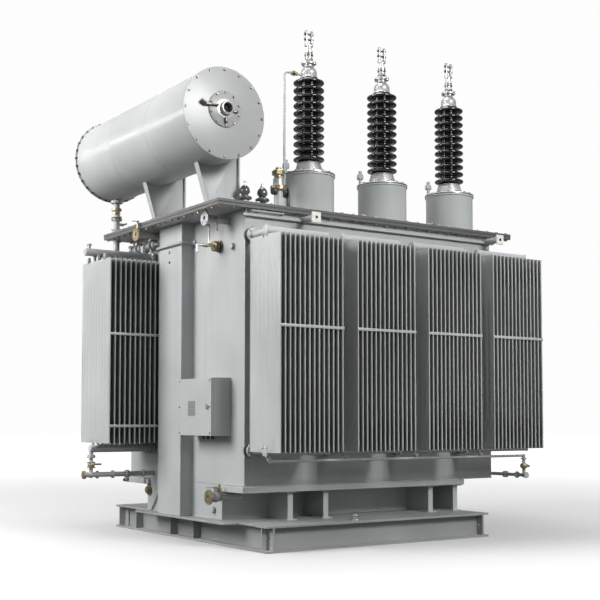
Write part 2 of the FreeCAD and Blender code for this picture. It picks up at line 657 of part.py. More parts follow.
# drain manifold of the end radiator
end_middle = "(end_fin_front + end_fin_rear) / 2"
left_top = ("-left_drop_x", end_middle, "end_header_low - 78")
left_parts = pipe("left_drop", "18", left_top, [(-1 * Z, "170")])
left_parts.append(rod("left_drop_flange", "40", "12",
                      ("-left_drop_x", end_middle, "end_header_low - 90"), Z))
left_parts.append(ball("left_tee", "32", ("-left_drop_x", end_middle, "manifold_z")))
left_parts.append(rod("left_line", "24", "1990 - tank_left", ("-1990", end_middle, "manifold_z"), X))
for k, place in enumerate((-1990, -1860, -1700, -1560, -1540, -1380)):
    left_parts.append(rod(f"left_collar_{k}", "38", "14", (place, end_middle, "manifold_z"), X))
left_parts.append(ball("left_ball", "34", ("-left_drop_x", end_middle, "manifold_z + 100")))
left_bonnet, left_stem_hole = bored_bonnet("left_manifold", "14", "24",
                                           ("-left_drop_x", end_middle, "manifold_z + 100"), -1 * Y)
node("left_manifold", cut("left_drain", fuse("left_solid", *left_parts, left_bonnet), left_stem_hole))
node("left_manifold_lever", lever("left_lever", ("-left_drop_x", f"{end_middle} - 54 + stem_deep",
                                                 "manifold_z + 100"), -1 * Y, 80, (1, 0, 0)))

# drain line under the front radiators, its drop beyond their right-hand end and the way back to the tank
right_top = ("fin_first + branch_place", "-header_place", "drain_line_z")
drop = "(drain_line_z - right_z)"
right_parts = pipe("right_line", "drain_line_radius", right_top, [(X, "drop_x - fin_first - branch_place")])
right_parts.append(ball("right_elbow", "16", ("drop_x", "-header_place", "drain_line_z")))
right_parts += pipe("right_drop", "16", ("drop_x", "-header_place", "drain_line_z"),
                    [(-1 * Z, drop), (Y, "header_place - 1064"), (-1 * X, "drop_x - tank_right")])
for number in range(4):
    centre = f"fin_first + {number} * radiator_pitch + branch_place"
    right_parts.append(rod(f"right_tee_{number}", "drain_line_radius",
                           "header_low - header_radius - drain_line_z",
                           (f"{centre}", "-header_place", "drain_line_z")))
    right_parts.append(rod(f"right_tee_collar_{number}", "20", "14",
                           (f"{centre}", "-header_place", "drain_line_z + 14")))
right_parts.append(rod("right_end_cap", "30", "16", ("drop_x", "-header_place - 40", "right_z"), Y))
right_parts.append(rod("right_end", "22", "40", ("drop_x", "-header_place - 30", "right_z"), Y))
for k, place in enumerate((-1400, -1250, -1230)):
    right_parts.append(rod(f"right_collar_{k}", "32", "14", ("drop_x", place, "right_z"), Y))
right_parts.append(rod("right_top_flange", "30", "12", ("drop_x", "-header_place", "drain_line_z - 34")))
right_parts.append(ball("right_ball", "34", ("drop_x", "-header_place", "right_z + 90")))
right_bonnet, right_stem_hole = bored_bonnet("right_manifold", "14", "24",
                                             ("drop_x", "-header_place", "right_z + 90"), -1 * Y)
node("right_manifold", cut("right_drain", fuse("right_solid", *right_parts, right_bonnet),
                           right_stem_hole))
node("right_manifold_lever", lever("right_lever", ("drop_x", "-header_place - 54 + stem_deep",
                                                   "right_z + 90"), -1 * Y, 80, (-1, 0, 0)))

# ---------------------------------------------------------------- conservator
drum = rod("drum_outside", "drum_radius - 6", "drum_front + drum_rear",
           ("-drum_x", "-drum_front", "drum_z"), Y)
drum_space = rod("drum_space", "drum_radius - 6 - drum_wall", "drum_front + drum_rear",
                 ("-drum_x", "-drum_front", "drum_z"), Y)
outlet_place = ("-drum_x", "feed_pipe_y", "drum_z - drum_radius - 20")
outlet = rod("drum_outlet", "feed_pipe_radius", "40", outlet_place)
outlet_flange = rod("drum_outlet_flange", "60", "14", outlet_place)
node("conservator_drum", cut("drum", fuse("drum_welded", drum, outlet, outlet_flange), drum_space))


def drum_cover(name, place, turn):
    """A flat end disc with sixteen bolt heads; it stands in its own frame, outward along -Y."""
    body = doc.addObject("PartDesign::Body", name)
    disc = sketch(body, "XZ_Plane", name + "_disc")
    circle(disc, ("0", "0"), "drum_radius")
    pad(body, disc, "drum_cover_thick", name + "_plate")
    head = sketch(body, "XZ_Plane", name + "_head")
    circle(head, ("0", "drum_radius - 24"), "11")
    first = pad(body, head, "drum_cover_thick + 9", name + "_first_head")
    ring_of(body, first, "Y_Axis", 16, name + "_heads")
    body.Placement = FreeCAD.Placement(FreeCAD.Vector(), FreeCAD.Rotation(Z, turn))
    return put(body, place)


node("conservator_covers", group("drum_covers",
                                 drum_cover("front_cover", ("-drum_x", "-drum_front", "drum_z"), 0),
                                 drum_cover("rear_cover", ("-drum_x", "drum_rear", "drum_z"), 180)))


def port():
    """The gauge port on the front disc: a bolted flange, a hub with a window bore and three ribs."""
    body = doc.addObject("PartDesign::Body", "port")
    for word, radius, reach in (("port_flange", "port_flange", "12"), ("port_hub", "port_hub", "62")):
        flat = sketch(body, "XZ_Plane", word + "_sketch")
        circle(flat, ("0", "0"), radius)
        pad(body, flat, reach, word + "_pad")
    head = sketch(body, "XZ_Plane", "port_head")
    circle(head, ("0", "port_flange - 16"), "9")
    first = pad(body, head, "22", "port_first_head")
    ring_of(body, first, "Y_Axis", 10, "port_heads")
    put(body, ("-drum_x", "-drum_front - drum_cover_thick", "drum_z + port_raise"))
    front = "-drum_front - drum_cover_thick"
    ribs = [box("port_left_rib", ("210", "22", "22"), ("-drum_x - 210", f"{front} - 34",
                                                       "drum_z + port_raise + 4")),
            box("port_right_rib", ("120", "22", "22"), ("-drum_x", f"{front} - 34",
                                                        "drum_z + port_raise - 26")),
            box("port_low_rib", ("22", "22", "130"), ("-drum_x - 11", f"{front} - 34",
                                                      "drum_z + port_raise - 130"))]
    bore = rod("port_bore", "port_bore", "60", ("-drum_x", f"{front} - 70", "drum_z + port_raise"), Y)
    return cut("port_bored", fuse("port_solid", body, *ribs), bore)


node("gauge_port", port())
node("gauge_window", rod("window", "port_bore - 0.2", "6",
                         ("-drum_x", "-drum_front - drum_cover_thick - 18", "drum_z + port_raise"), Y))


def saddle(name, place):
    """An upright plate cut to the drum's round, edged by a slanted and an upright flange."""
    body = doc.addObject("PartDesign::Body", name)
    flat = sketch(body, "XZ_Plane", name + "_sketch", f"-({place}) - saddle_plate / 2")
    outline(flat, [("-saddle_right", "cover_top"), ("-saddle_right", "drum_z - 180"),
                   ("-saddle_head", "drum_z - 180"), ("-saddle_head", "drum_z - 330"),
                   ("-saddle_left", "cover_top")])
    pad(body, flat, "saddle_plate", name + "_plate")
    upright = box(name + "_upright", ("saddle_plate", "saddle_flange", "drum_z - 215 - cover_top"),
                  ("-saddle_right - saddle_plate", f"{place} - saddle_flange / 2", "cover_top"))
    edge = sketch(body, "XZ_Plane", name + "_edge", f"-({place}) - saddle_flange / 2")
    outline(edge, [("-saddle_left", "cover_top"), ("-saddle_left + 18", "cover_top"),
                   ("-saddle_head + 18", "drum_z - 330"), ("-saddle_head", "drum_z - 330")])
    pad(body, edge, "saddle_flange", name + "_edge_plate")
    room = rod(name + "_room", "drum_radius - 6", "2 * saddle_flange",
               ("-drum_x", f"{place} - saddle_flange", "drum_z"), Y)
    return cut(name + "_cut", fuse(name + "_welded", body, upright), room)


node("conservator_saddles", group("saddles", saddle("front_saddle", "-saddle_front"),
                                  saddle("rear_saddle", "saddle_rear")))

# feed pipe from the drum through the cover's overhang to the tank's end wall, with a valve
feed_top = ("-drum_x", "feed_pipe_y", "drum_z - drum_radius - 20")
feed_parts = pipe("feed", "feed_pipe_radius", feed_top,
                  [(-1 * Z, "drum_z - drum_radius - 20 - feed_low"), (X, "drum_x - tank_left")])
feed_parts.append(rod("feed_top_flange", "60", "14", (feed_top[0], feed_top[1], feed_top[2] + " - 14"), Z))
for k, place in enumerate((3170, 3140, 3040)):
    feed_parts.append(rod(f"feed_collar_{k}", "52", "14", (feed_top[0], feed_top[1], place), Z))
feed_bonnet, feed_stem_hole = bored_bonnet("feed", "15", "34", (feed_top[0], feed_top[1], "3105"), X)
node("feed_pipe", cut("feed_cut", fuse("feed_solid", *feed_parts, feed_bonnet), feed_stem_hole))
node("feed_valve_lever", lever("feed_lever", ("-drum_x + 64 - stem_deep", feed_top[1], "3105"),
                               X, 90, (0, -1, 0)))


# ---------------------------------------------------------------- bushings and cover fittings
def turned_at(name, corners, place):
    body = doc.addObject("PartDesign::Body", name)
    turned(body, corners, name)
    return put(body, place)


def porcelain(name, place):
    """A porcelain core with its row of sheds."""
    body = doc.addObject("PartDesign::Body", name)
    high = "(shed_top - shed_bottom)"
    turned(body, [("0", "0"), ("core_radius", "0"), ("core_radius", high), ("0", high)], name + "_core")
    middle, half = "shed_bottom_gap", "shed_thick / 2"
    shed = turned(body, [("core_radius - 8", f"{middle} - {half}"),
                         ("shed_radius - 8", f"{middle} - {half} + 2"),
                         ("shed_radius", middle), ("shed_radius - 12", f"{middle} + {half}"),
                         ("core_radius - 8", f"{middle} + {half} + 14")], name + "_shed")
    row_of(body, shed, "Z_Axis", f"{high} / shed_count", "shed_count", name + "_sheds")
    return put(body, place)


def terminal(name, x):
    """The metal head: dome, collar, stem and a two-pronged clamp."""
    place = (x, "-bushing_y", "shed_top")
    head = turned_at(name + "_head", [
        ("0", "0"), ("dome_radius", "0"), ("dome_radius", "52"), ("dome_radius - 22", "104"),
        ("44", "116"), ("44", "132"), ("74", "138"), ("74", "160"), ("40", "168"), ("32", "250"),
        ("38", "254"), ("38", "272"), ("26", "276"), ("26", "330"), ("0", "330")], place)
    yoke = box(name + "_yoke", ("84", "40", "20"), (f"{x} - 42", "-bushing_y - 20", "shed_top + 318"))
    prongs = [box(f"{name}_prong_{k}", ("14", "34", "terminal_top - shed_top - 338"),
                  (f"{x} + {place}", "-bushing_y - 17", "shed_top + 338"))
              for k, place in enumerate((-38, 24))]
    bolt = rod(name + "_bolt", "9", "100", (f"{x} - 50", "-bushing_y", "shed_top + 386"), X)
    return fuse(name, head, yoke, *prongs, bolt)


turrets = []
flanges = []
deep = "(turret_top - cover_top)"
for k in range(3):
    x = f"(bushing_first + {k} * bushing_pitch)"
    turrets.append(turned_at(f"turret_{k + 1}", [
        ("turret_radius - 8", "0"), ("turret_radius", "0"),
        ("turret_radius", f"{deep} - turret_flange_thick"),
        ("turret_flange", f"{deep} - turret_flange_thick"), ("turret_flange", deep),
        ("turret_radius - 8", deep)], (x, "-bushing_y", "cover_top")))
    flanges.append(turned_at(f"bushing_flange_{k + 1}", [
        ("0", "-tail_deep"), ("58", "-tail_deep"), ("74", "0"), ("turret_flange", "0"),
        ("turret_flange", "14"), ("142", "14"), ("142", "26"), ("112", "shed_bottom - turret_top"),
        ("0", "shed_bottom - turret_top")], (x, "-bushing_y", "turret_top")))
    node(f"hv_porcelain_{k + 1}", porcelain(f"porcelain_{k + 1}", (x, "-bushing_y", "shed_bottom")))
    node(f"hv_terminal_{k + 1}", terminal(f"terminal_{k + 1}", x))
node("turrets", group("turret_row", *turrets))
node("bushing_flanges", group("flange_row", *flanges))

small = [("0", "0"), ("56", "0"), ("56", "16"), ("36", "22"), ("36", "60"), ("58", "72"), ("58", "84"),
         ("34", "98"), ("34", "124"), ("56", "136"), ("56", "148"), ("26", "164"), ("26", "220"),
         ("14", "226"), ("14", "272"), ("0", "272")]
small_pair = [turned_at(f"small_bushing_{k}", small, (x, "-905", "cover_top"))
              for k, x in enumerate((-1128, -943))]
low_voltage = [("0", "0"), ("88", "0"), ("88", "18"), ("56", "26"), ("56", "60"), ("92", "76"),
               ("92", "92"), ("52", "112"), ("52", "150"), ("86", "166"), ("86", "182"), ("44", "204"),
               ("44", "262"), ("24", "268"), ("24", "372"), ("0", "372")]
node("lv_bushings", group("lv_row", *small_pair, *[
    turned_at(f"lv_bushing_{k}", low_voltage, (x, "560", "cover_top"))
    for k, x in enumerate((-300, 120, 540, 960))]))
node("relief_valve", turned_at("relief", [
    ("0", "0"), ("76", "0"), ("76", "16"), ("42", "20"), ("42", "228"), ("75", "232"), ("75", "262"),
    ("50", "266"), ("50", "372"), ("62", "376"), ("62", "408"), ("28", "412"), ("28", "440"),
    ("0", "440")], ("-690", "-780", "cover_top")))
vent_x = "(bushing_first - 282)"
vent_parts = pipe("vent", "11", (vent_x, "-bushing_y", "cover_top"),
                  [(Z, "shed_top + 26 - cover_top"), (X, "282 - dome_radius")])
vent_parts.append(rod("vent_foot", "26", "14", (vent_x, "-bushing_y", "cover_top"), Z))
vent_parts.append(rod("vent_union", "22", "46", (f"{vent_x} + 90", "-bushing_y", "shed_top + 26"), X))
node("vent_pipe", fuse("vent", *vent_parts))


def trunnion(name, side, x):
    """A round lifting bar on the band, with a block under its root and a square keeper plate."""
    start = "(tank_half_width + band_lip)"
    bar = rod(name + "_bar", "trunnion_radius", "trunnion_reach", (x, f"{side} * {start}", "trunnion_z"),
              side * Y)
    inner = "tank_half_width" if side > 0 else f"-{start}"
    block = box(name + "_block", ("1.6 * trunnion_radius", "band_lip", "trunnion_block_high"),
                (f"{x} - 0.8 * trunnion_radius", inner, "band_bottom + band_high"))
    outer = f"{start} + trunnion_reach"
    low = outer if side > 0 else f"-({outer}) - post_face_thick"
    plate = box(name + "_plate", ("keeper_side", "post_face_thick", "keeper_side"),
                (f"{x} - keeper_side / 2", low, "trunnion_z - keeper_side / 2"))
    return fuse(name, bar, block, plate)


node("lifting_trunnions", group("trunnions", *[
    trunnion(f"trunnion_{side + 1}_{word}", side, f"({x})")
    for side in (-1, 1) for word, x in (("left", "-trunnion_left"), ("right", "trunnion_right"))]))

# ---------------------------------------------------------------- control box on the end wall
box_wide, box_high = "(box_near - box_far)", "(box_top - box_bottom)"
box_front = "-tank_left - box_depth"
outside = box("box_outside", ("box_depth", box_wide, box_high), (box_front, "-box_near", "box_bottom"))
inside = box("box_inside", ("box_depth - box_sheet + 1", f"{box_wide} - 2 * box_sheet",
                            f"{box_high} - 2 * box_sheet"),
             (f"{box_front} - 1", "-box_near + box_sheet", "box_bottom + box_sheet"))
hinge_x, hinge_y = f"({box_front} - 11)", "(-box_far + 10)"
box_side_parts = [cut("box_shell", outside, inside)]
for k, low in enumerate((1020, 1370)):
    leaf = box(f"box_leaf_{k}", ("44", "5", "20"), (f"{hinge_x} + 2", "-box_far", f"{low}"))
    knuckle = rod(f"box_knuckle_{k}", "hinge_radius", "20", (hinge_x, hinge_y, f"{low}"))
    pin = rod(f"box_pin_{k}", "pin_radius", "60", (hinge_x, hinge_y, f"{low}"))
    box_side_parts += [leaf, knuckle, pin]
node("control_box", fuse("box_welded", *box_side_parts))

door_back = f"({box_front} - door_gap)"
door_outside = box("door_outside", ("door_thick", f"{box_wide} - 4", f"{box_high} - 4"),
                   (f"{door_back} - door_thick", "-box_near + 2", "box_bottom + 2"))
door_inside = box("door_inside", ("door_thick - 2", f"{box_wide} - 8", f"{box_high} - 8"),
                  (f"{door_back} - door_thick + 2", "-box_near + 4", "box_bottom + 4"))
door_parts = [cut("door_pan", door_outside, door_inside)]
door_holes = []
for k, low in enumerate((1020, 1370)):
    bottom = f"{low} + 20 + knuckle_gap"
    door_parts.append(rod(f"door_knuckle_{k}", "hinge_radius", "20", (hinge_x, hinge_y, bottom)))
    door_parts.append(box(f"door_arm_{k}", ("5", "13", "20"),
                          (f"{hinge_x} - 2.5", f"{hinge_y} - 13", bottom)))
    door_holes.append(rod(f"door_hole_{k}", "pin_radius + running_fit", "22",
                          (hinge_x, hinge_y, f"{bottom} - 1")))
latch_place = (f"{door_back} - door_thick", "-box_near + 60", "(box_bottom + box_top) / 2")
door_holes.append(rod("latch_hole", "8 + running_fit", "30",
                      (f"{latch_place[0]} - 5", *latch_place[1:]), X))
node("control_box_door", cut("door", fuse("door_solid", *door_parts), *door_holes))
latch = [rod("latch_shaft", "8", "26", (f"{latch_place[0]} - 8", *latch_place[1:]), X),
         rod("latch_knob", "17", "10", (f"{latch_place[0]} - 10.5", *latch_place[1:]), X),
         box("latch_wing", ("10", "8", "46"), (f"{latch_place[0]} - 20.5", f"{latch_place[1]} - 4",
                                               f"{latch_place[2]} - 23")),
         box("latch_cam", ("4", "46", "14"), (f"{latch_place[0]} + 14", f"{latch_place[1]} - 38",
                                              f"{latch_place[2]} - 7"))]
node("door_latch", fuse("latch", *latch))
node("rating_plate", box("plate", ("1.5", "130", "134"),
                         (f"{door_back} - door_thick - 1.5", "-601", "1145")))
terminals = [box("terminal_rail", ("8", "460", "35"), ("-tank_left - box_sheet - 8", "-815", "1210"))]
for k in range(10):
    terminals.append(box(f"terminal_block_{k}", ("46", "30", "60"),
                         ("-tank_left - box_sheet - 54", f"{-790 + 42 * k}", "1197")))
node("box_terminals", group("terminals", *terminals))

# ---------------------------------------------------------------- core and windings in the tank
core_middle = "(tank_right - tank_left) / 2"
limb_places = [f"{core_middle} + {k} * limb_pitch" for k in (-1, 0, 1)]
core_parts = [rod(f"limb_{k}", "limb_radius", "core_top - core_bottom - 40", (x, "0", "core_bottom + 20"))
              for k, x in enumerate(limb_places)]
for word, low in (("low", "core_bottom"), ("high", "core_top - yoke_high")):
    core_parts.append(box(word + "_yoke", ("2 * limb_pitch + 2 * limb_radius", "2 * limb_radius - 20",
                                           "yoke_high"),
                          (f"{core_middle} - limb_pitch - limb_radius", "-limb_radius + 10", low)))
node("core", fuse("core_stack", *core_parts))


def winding(name, x, inner, outer, short):
    high = f"core_top - core_bottom - 2 * yoke_high - 2 * {short}"
    low = f"core_bottom + yoke_high + {short}"
    body = doc.addObject("PartDesign::Body", name)
    turned(body, [(inner, "0"), (outer, "0"), (outer, high), (inner, high)], name)
    return put(body, (x, "0", low))


node("lv_windings", group("lv_coils", *[
    winding(f"lv_coil_{k}", x, "limb_radius + winding_gap", "lv_radius", 40)
    for k, x in enumerate(limb_places)]))
node("hv_windings", group("hv_coils", *[
    winding(f"hv_coil_{k}", x, "lv_radius + winding_gap", "hv_radius", 60)
    for k, x in enumerate(limb_places)]))
leads = []
for k, x in enumerate(limb_places):
    rise = "core_top - yoke_high - 60"
    shift = f"(bushing_first + {k} * bushing_pitch) - ({x})"
    leads.append(fuse(f"lead_{k}", *pipe(f"lead_{k}", "10", (x, "-hv_radius + 40", rise), [
        (Z, f"turret_top - 780 - ({rise})"), (-1 * Y, "bushing_y - hv_radius + 40"),
        (X, shift), (Z, "780 - tail_deep")])))
node("hv_leads", group("leads", *leads))

# ---------------------------------------------------------------- check and write
doc.recompute()
failed = [item.Name for item in doc.Objects if {"Invalid", "Error"} & set(item.State)]
failed += [item.Label for item in nodes if item.Shape.isNull() or not item.Shape.isValid()]
if failed:
    raise SystemExit("not built: " + ", ".join(failed))
os.makedirs("parts", exist_ok=True)
for item in nodes:
    item.Shape.exportStep(f"parts/{item.Label}.step")
print(len(nodes), "sub-parts written")
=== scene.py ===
import math

import bmesh
import bpy
import numpy as np
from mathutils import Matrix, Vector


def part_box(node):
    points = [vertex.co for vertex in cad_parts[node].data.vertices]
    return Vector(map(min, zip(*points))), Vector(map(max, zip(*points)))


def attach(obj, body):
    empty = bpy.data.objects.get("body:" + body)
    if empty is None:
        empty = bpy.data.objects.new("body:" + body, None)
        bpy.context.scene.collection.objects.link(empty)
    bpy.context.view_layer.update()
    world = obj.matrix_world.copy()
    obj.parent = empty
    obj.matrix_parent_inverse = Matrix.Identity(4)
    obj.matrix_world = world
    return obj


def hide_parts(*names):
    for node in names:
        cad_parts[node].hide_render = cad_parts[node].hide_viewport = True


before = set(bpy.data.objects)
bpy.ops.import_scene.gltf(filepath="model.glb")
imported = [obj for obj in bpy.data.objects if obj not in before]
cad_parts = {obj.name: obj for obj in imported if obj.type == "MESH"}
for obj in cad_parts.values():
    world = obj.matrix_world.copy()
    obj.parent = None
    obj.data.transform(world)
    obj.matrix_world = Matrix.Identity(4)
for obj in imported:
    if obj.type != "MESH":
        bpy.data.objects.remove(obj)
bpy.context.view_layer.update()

# ---------------------------------------------------------------- viewpoint
# The unit is seen from low down, off its front left corner, through a longish lens that is
# raised a little so that the uprights stay nearly parallel.
EYE = (-6.259, -9.394, 1.1045)
HEADING, TILT = math.radians(34.0), math.radians(3.22)
FOCAL_LENGTH, RISE = 67.3, 0.0957

camera = bpy.data.objects.new("camera", bpy.data.cameras.new("camera"))
camera.data.lens = FOCAL_LENGTH
camera.data.shift_y = RISE
camera.data.clip_end = 200
camera.location = EYE
camera.rotation_euler = (math.pi / 2 + TILT, 0, -HEADING)
bpy.context.scene.collection.objects.link(camera)
bpy.context.scene.camera = camera


# ---------------------------------------------------------------- skid and tank
# Rolled beams, plate and pressed girders, welded together, ground at the edges and sprayed with
# a light grey enamel. The same paint covers the radiators, conservator, turrets and pipes.
class Value:
    """One output of a material's node; arithmetic on it adds Math nodes."""

    def __init__(self, tree, socket):
        self.tree, self.socket = tree, socket

    def maths(self, operation, first, second):
        node = self.tree.nodes.new("ShaderNodeMath")
        node.operation = operation
        for slot, value in zip(node.inputs, (first, second)):
            if isinstance(value, Value):
                self.tree.links.new(value.socket, slot)
            else:
                slot.default_value = value
        return Value(self.tree, node.outputs[0])

    def __add__(self, other):
        return self.maths("ADD", self, other)

    def __sub__(self, other):
        return self.maths("SUBTRACT", self, other)

    def __rsub__(self, other):
        return self.maths("SUBTRACT", other, self)

    def __mul__(self, other):
        return self.maths("MULTIPLY", self, other)

    def __truediv__(self, other):
        return self.maths("DIVIDE", self, other)

    def above(self, level):
        return self.maths("GREATER_THAN", self, level)

class Finish:
    """A material in the making, with its nodes added by `add` and its shader set by `coat`."""

    def __init__(self, name):
        self.material = bpy.data.materials.new(name)
        self.material.use_nodes = True
        self.tree = self.material.node_tree
        self.shader = self.tree.nodes["Principled BSDF"]
        self.place = self.add("TexCoord", out="Object")

    def add(self, kind, inputs=None, out=0, **settings):
        """A ShaderNode of that kind: its settings first, then its inputs set or linked."""
        node = self.tree.nodes.new("ShaderNode" + kind)
        for key, value in settings.items():
            setattr(node, key, value)
        for key, value in (inputs or {}).items():
            self.feed(node.inputs[key], value)
        return Value(self.tree, node.outputs[out])

    def feed(self, socket, value):
        if isinstance(value, Value):
            self.tree.links.new(value.socket, socket)
        else:
            socket.default_value = value

    def noise(self, scale, detail=3.0, stretch=(1, 1, 1), rough=0.5):
        """Noise in lumps 1/scale of a metre across, drawn out by `stretch`."""
        place = self.add("Mapping", {"Vector": self.place, "Scale": stretch})
        return self.add("TexNoise", {"Vector": place, "Scale": scale, "Detail": detail,
                                     "Roughness": rough})

    def spread(self, value, low, high, bottom=0.0, top=1.0):
        """The value's stretch from low to high carried over to bottom to top."""
        return self.add("MapRange", {"Value": value, "From Min": low, "From Max": high,
                                     "To Min": bottom, "To Max": top})

    def blend(self, amount, first, second):
        """A colour between two."""
        return self.add("Mix", {0: amount, 6: first, 7: second}, out=2, data_type="RGBA")

    def relief(self, height, depth, strength=1.0, under=None):
        inputs = {"Height": height, "Distance": depth, "Strength": strength}
        if under is not None:
            inputs["Normal"] = under
        return self.add("Bump", inputs)

    def axes(self):
        """The object's own x, y and z at the shaded point."""
        split = self.tree.nodes.new("ShaderNodeSeparateXYZ")
        self.feed(split.inputs["Vector"], self.place)
        return [Value(self.tree, socket) for socket in split.outputs]

    def bands(self, rate):
        """The sine of the height, in even layers."""
        return self.add("Math", {0: self.axes()[2] * rate}, operation="SINE")

    def upward(self):
        """One where a surface faces the sky and nothing where it stands upright."""
        normal = self.add("NewGeometry", out="Normal")
        return self.add("SeparateXYZ", {"Vector": normal}, out=2)

    def coat(self, **sockets):
        for key, value in sockets.items():
            self.feed(self.shader.inputs[key.replace("_", " ")], value)
        return self.material


def rgb(red, green, blue):
    return (red, green, blue, 1.0)


def enamel(name, shade, sheen=0.34, peel=0.00022, painted_shade_mask=None):
    """Sprayed enamel: cloudy film thickness, faint runs, a film of dust on top, orange peel.
    The optional mask marks painted shade: deep gaps that the light doesn't reach, darkened in the colour."""
    mix = Finish(name)
    pale = tuple(min(1.0, part * 1.07) for part in shade)
    dull = tuple(part * 0.90 for part in shade)
    dust = tuple(part * 1.12 for part in shade)
    cloud = mix.spread(mix.noise(1.3, 4.0), 0.35, 0.68)
    runs = mix.spread(mix.noise(5.0, 3.0, (3.0, 3.0, 0.16)), 0.50, 0.78, 0.0, 0.5)
    specks = mix.spread(mix.noise(120.0, 2.0), 0.66, 0.74, 0.0, 0.35)
    colour = mix.blend(cloud, rgb(*dull), rgb(*pale))
    colour = mix.blend(runs, colour, rgb(*dull))
    colour = mix.blend(specks, colour, rgb(*dull))
    settled = mix.spread(mix.upward(), 0.75, 1.0, 0.0, 0.6) * mix.noise(9.0, 4.0)
    colour = mix.blend(settled, colour, rgb(*dust))
    if painted_shade_mask is not None:
        # painted shade: where the mask says, the grey is taken down to about a third
        colour = mix.blend(painted_shade_mask(mix), colour, rgb(*(part * 0.36 for part in shade)))
    rough = mix.spread(cloud, 0.0, 1.0, sheen - 0.06, sheen + 0.08) + settled * 0.3
    peeled = mix.relief(mix.noise(340.0, 2.0), peel, 0.55)
    waved = mix.relief(mix.noise(2.2, 2.0), 0.004, 0.25, peeled)
    return mix.coat(Base_Color=colour, Roughness=rough, Normal=waved, Specular_IOR_Level=0.45)


GREY = (0.400, 0.414, 0.413)


def darker(share):
    """The tank's grey taken down to a share of itself: the same paint with shade painted into it."""
    return tuple(part * share for part in GREY)


tank_paint = enamel("tank_paint", GREY)
# Painted shade: the grey taken down a little, for small fittings, pipework and valve bodies.
shade_paint = enamel("grey_with_painted_shade", darker(0.86), 0.5)


RIGHT, LEFT, REAR, FRONT, UP, DOWN = (1, 0, 0), (-1, 0, 0), (0, 1, 0), (0, -1, 0), (0, 0, 1), (0, 0, -1)


def faces_of(rows, columns, round_rows=False, round_columns=False):
    """Four-sided faces over a grid of points, joined round where the grid closes on itself."""
    row = np.arange(rows if round_rows else rows - 1)[:, None]
    column = np.arange(columns if round_columns else columns - 1)[None, :]
    next_row, next_column = (row + 1) % rows, (column + 1) % columns
    quads = np.stack(np.broadcast_arrays(row * columns + column, next_row * columns + column,
                                         next_row * columns + next_column,
                                         row * columns + next_column), axis=-1)
    return quads.reshape(-1, 4)


def stand(points, place, along):
    """Points about their own Z axis, turned so that the axis lies along `along`, then moved."""
    along = np.asarray(along, float) / np.linalg.norm(along)
    spare = np.array((1.0, 0, 0)) if abs(along[0]) < 0.9 else np.array((0, 1.0, 0))
    side = np.cross(spare, along)
    side /= np.linalg.norm(side)
    frame_axes = np.stack((np.cross(side, along), side, along))
    if np.linalg.det(frame_axes) < 0:
        frame_axes[0] *= -1
    return points @ frame_axes + np.asarray(place)


def lathe(outline, place=(0, 0, 0), along=UP, sides=32, twist=0.0):
    """A profile of (radius, height) carried round an axis: x = r cos a, y = r sin a, z = h."""
    radius, height = np.array(outline, float).T
    angle = twist + np.arange(sides) * 2 * np.pi / sides
    points = np.stack((np.outer(np.cos(angle), radius), np.outer(np.sin(angle), radius),
                       np.outer(np.ones(sides), height)), axis=-1)
    return stand(points.reshape(-1, 3), place, along), faces_of(sides, len(radius), round_rows=True)


def peg(radius, high, edge, place, along=UP, sides=32):
    """A closed cylinder with a small round at both ends."""
    turn = np.radians((0, 30, 60, 90))
    low = [(radius - edge + edge * math.sin(a), edge - edge * math.cos(a)) for a in turn]
    top = [(radius - edge + edge * math.cos(a), high - edge + edge * math.sin(a)) for a in turn]
    return lathe([(0, 0)] + low + top + [(0, high)], place, along, sides)


def disc(radius, low, high):
    """The outline of a plain cylinder between two heights."""
    return [(0, low), (radius, low), (radius, high), (0, high)]


def slab(low, high, edge=0.004):
    """A box with rounded edges: a small ball's surface split in eight and moved to the corners."""
    low, high = np.array(low, float), np.array(high, float)
    edge = min(edge, 0.49 * (high - low).min())
    bend = np.radians((0, 45, 90))
    around = np.concatenate([bend + quarter * np.pi / 2 for quarter in range(4)])
    sign_x = np.repeat((1, -1, -1, 1), 3)
    sign_y = np.repeat((1, 1, -1, -1), 3)
    rise = np.concatenate((bend - np.pi / 2, bend))
    sign_z = np.repeat((-1, 1), 3)
    ball = np.stack((np.outer(np.cos(around), np.cos(rise)), np.outer(np.sin(around), np.cos(rise)),
                     np.outer(np.ones(12), np.sin(rise))), axis=-1)
    corner = np.stack(np.broadcast_arrays(sign_x[:, None], sign_y[:, None], sign_z[None, :]), axis=-1)
    points = (low + high) / 2 + corner * ((high - low) / 2 - edge) + edge * ball
    quads = faces_of(12, 6, round_rows=True)
    rings = points.reshape(12, 6, 3)
    caps = [rings[:, end] for end in (0, -1)]
    lids = [np.concatenate((cap, np.broadcast_to(cap.mean(axis=0), cap.shape))).reshape(2, 12, 3)
            for cap in caps]
    lid_faces = faces_of(2, 12, round_columns=True)
    parts = [(points.reshape(-1, 3), quads), (lids[0].reshape(-1, 3), lid_faces[:, ::-1]),
             (lids[1].reshape(-1, 3), lid_faces)]
    return together(parts)


def together(parts):
    """Several (points, faces) as one."""
    counts = np.cumsum([0] + [len(points) for points, _ in parts[:-1]])
    points = np.concatenate([points for points, _ in parts])
    faces = np.concatenate([faces + start for (_, faces), start in zip(parts, counts)])
    return points, faces


def copies(part, places):
    """The same shape at many places, worked out as one array."""
    points, faces = part
    places = np.asarray(places, float)
    spread = (points[None] + places[:, None]).reshape(-1, 3)
    steps = np.arange(len(places))[:, None, None] * len(points)
    return spread, (faces[None] + steps).reshape(-1, 4)


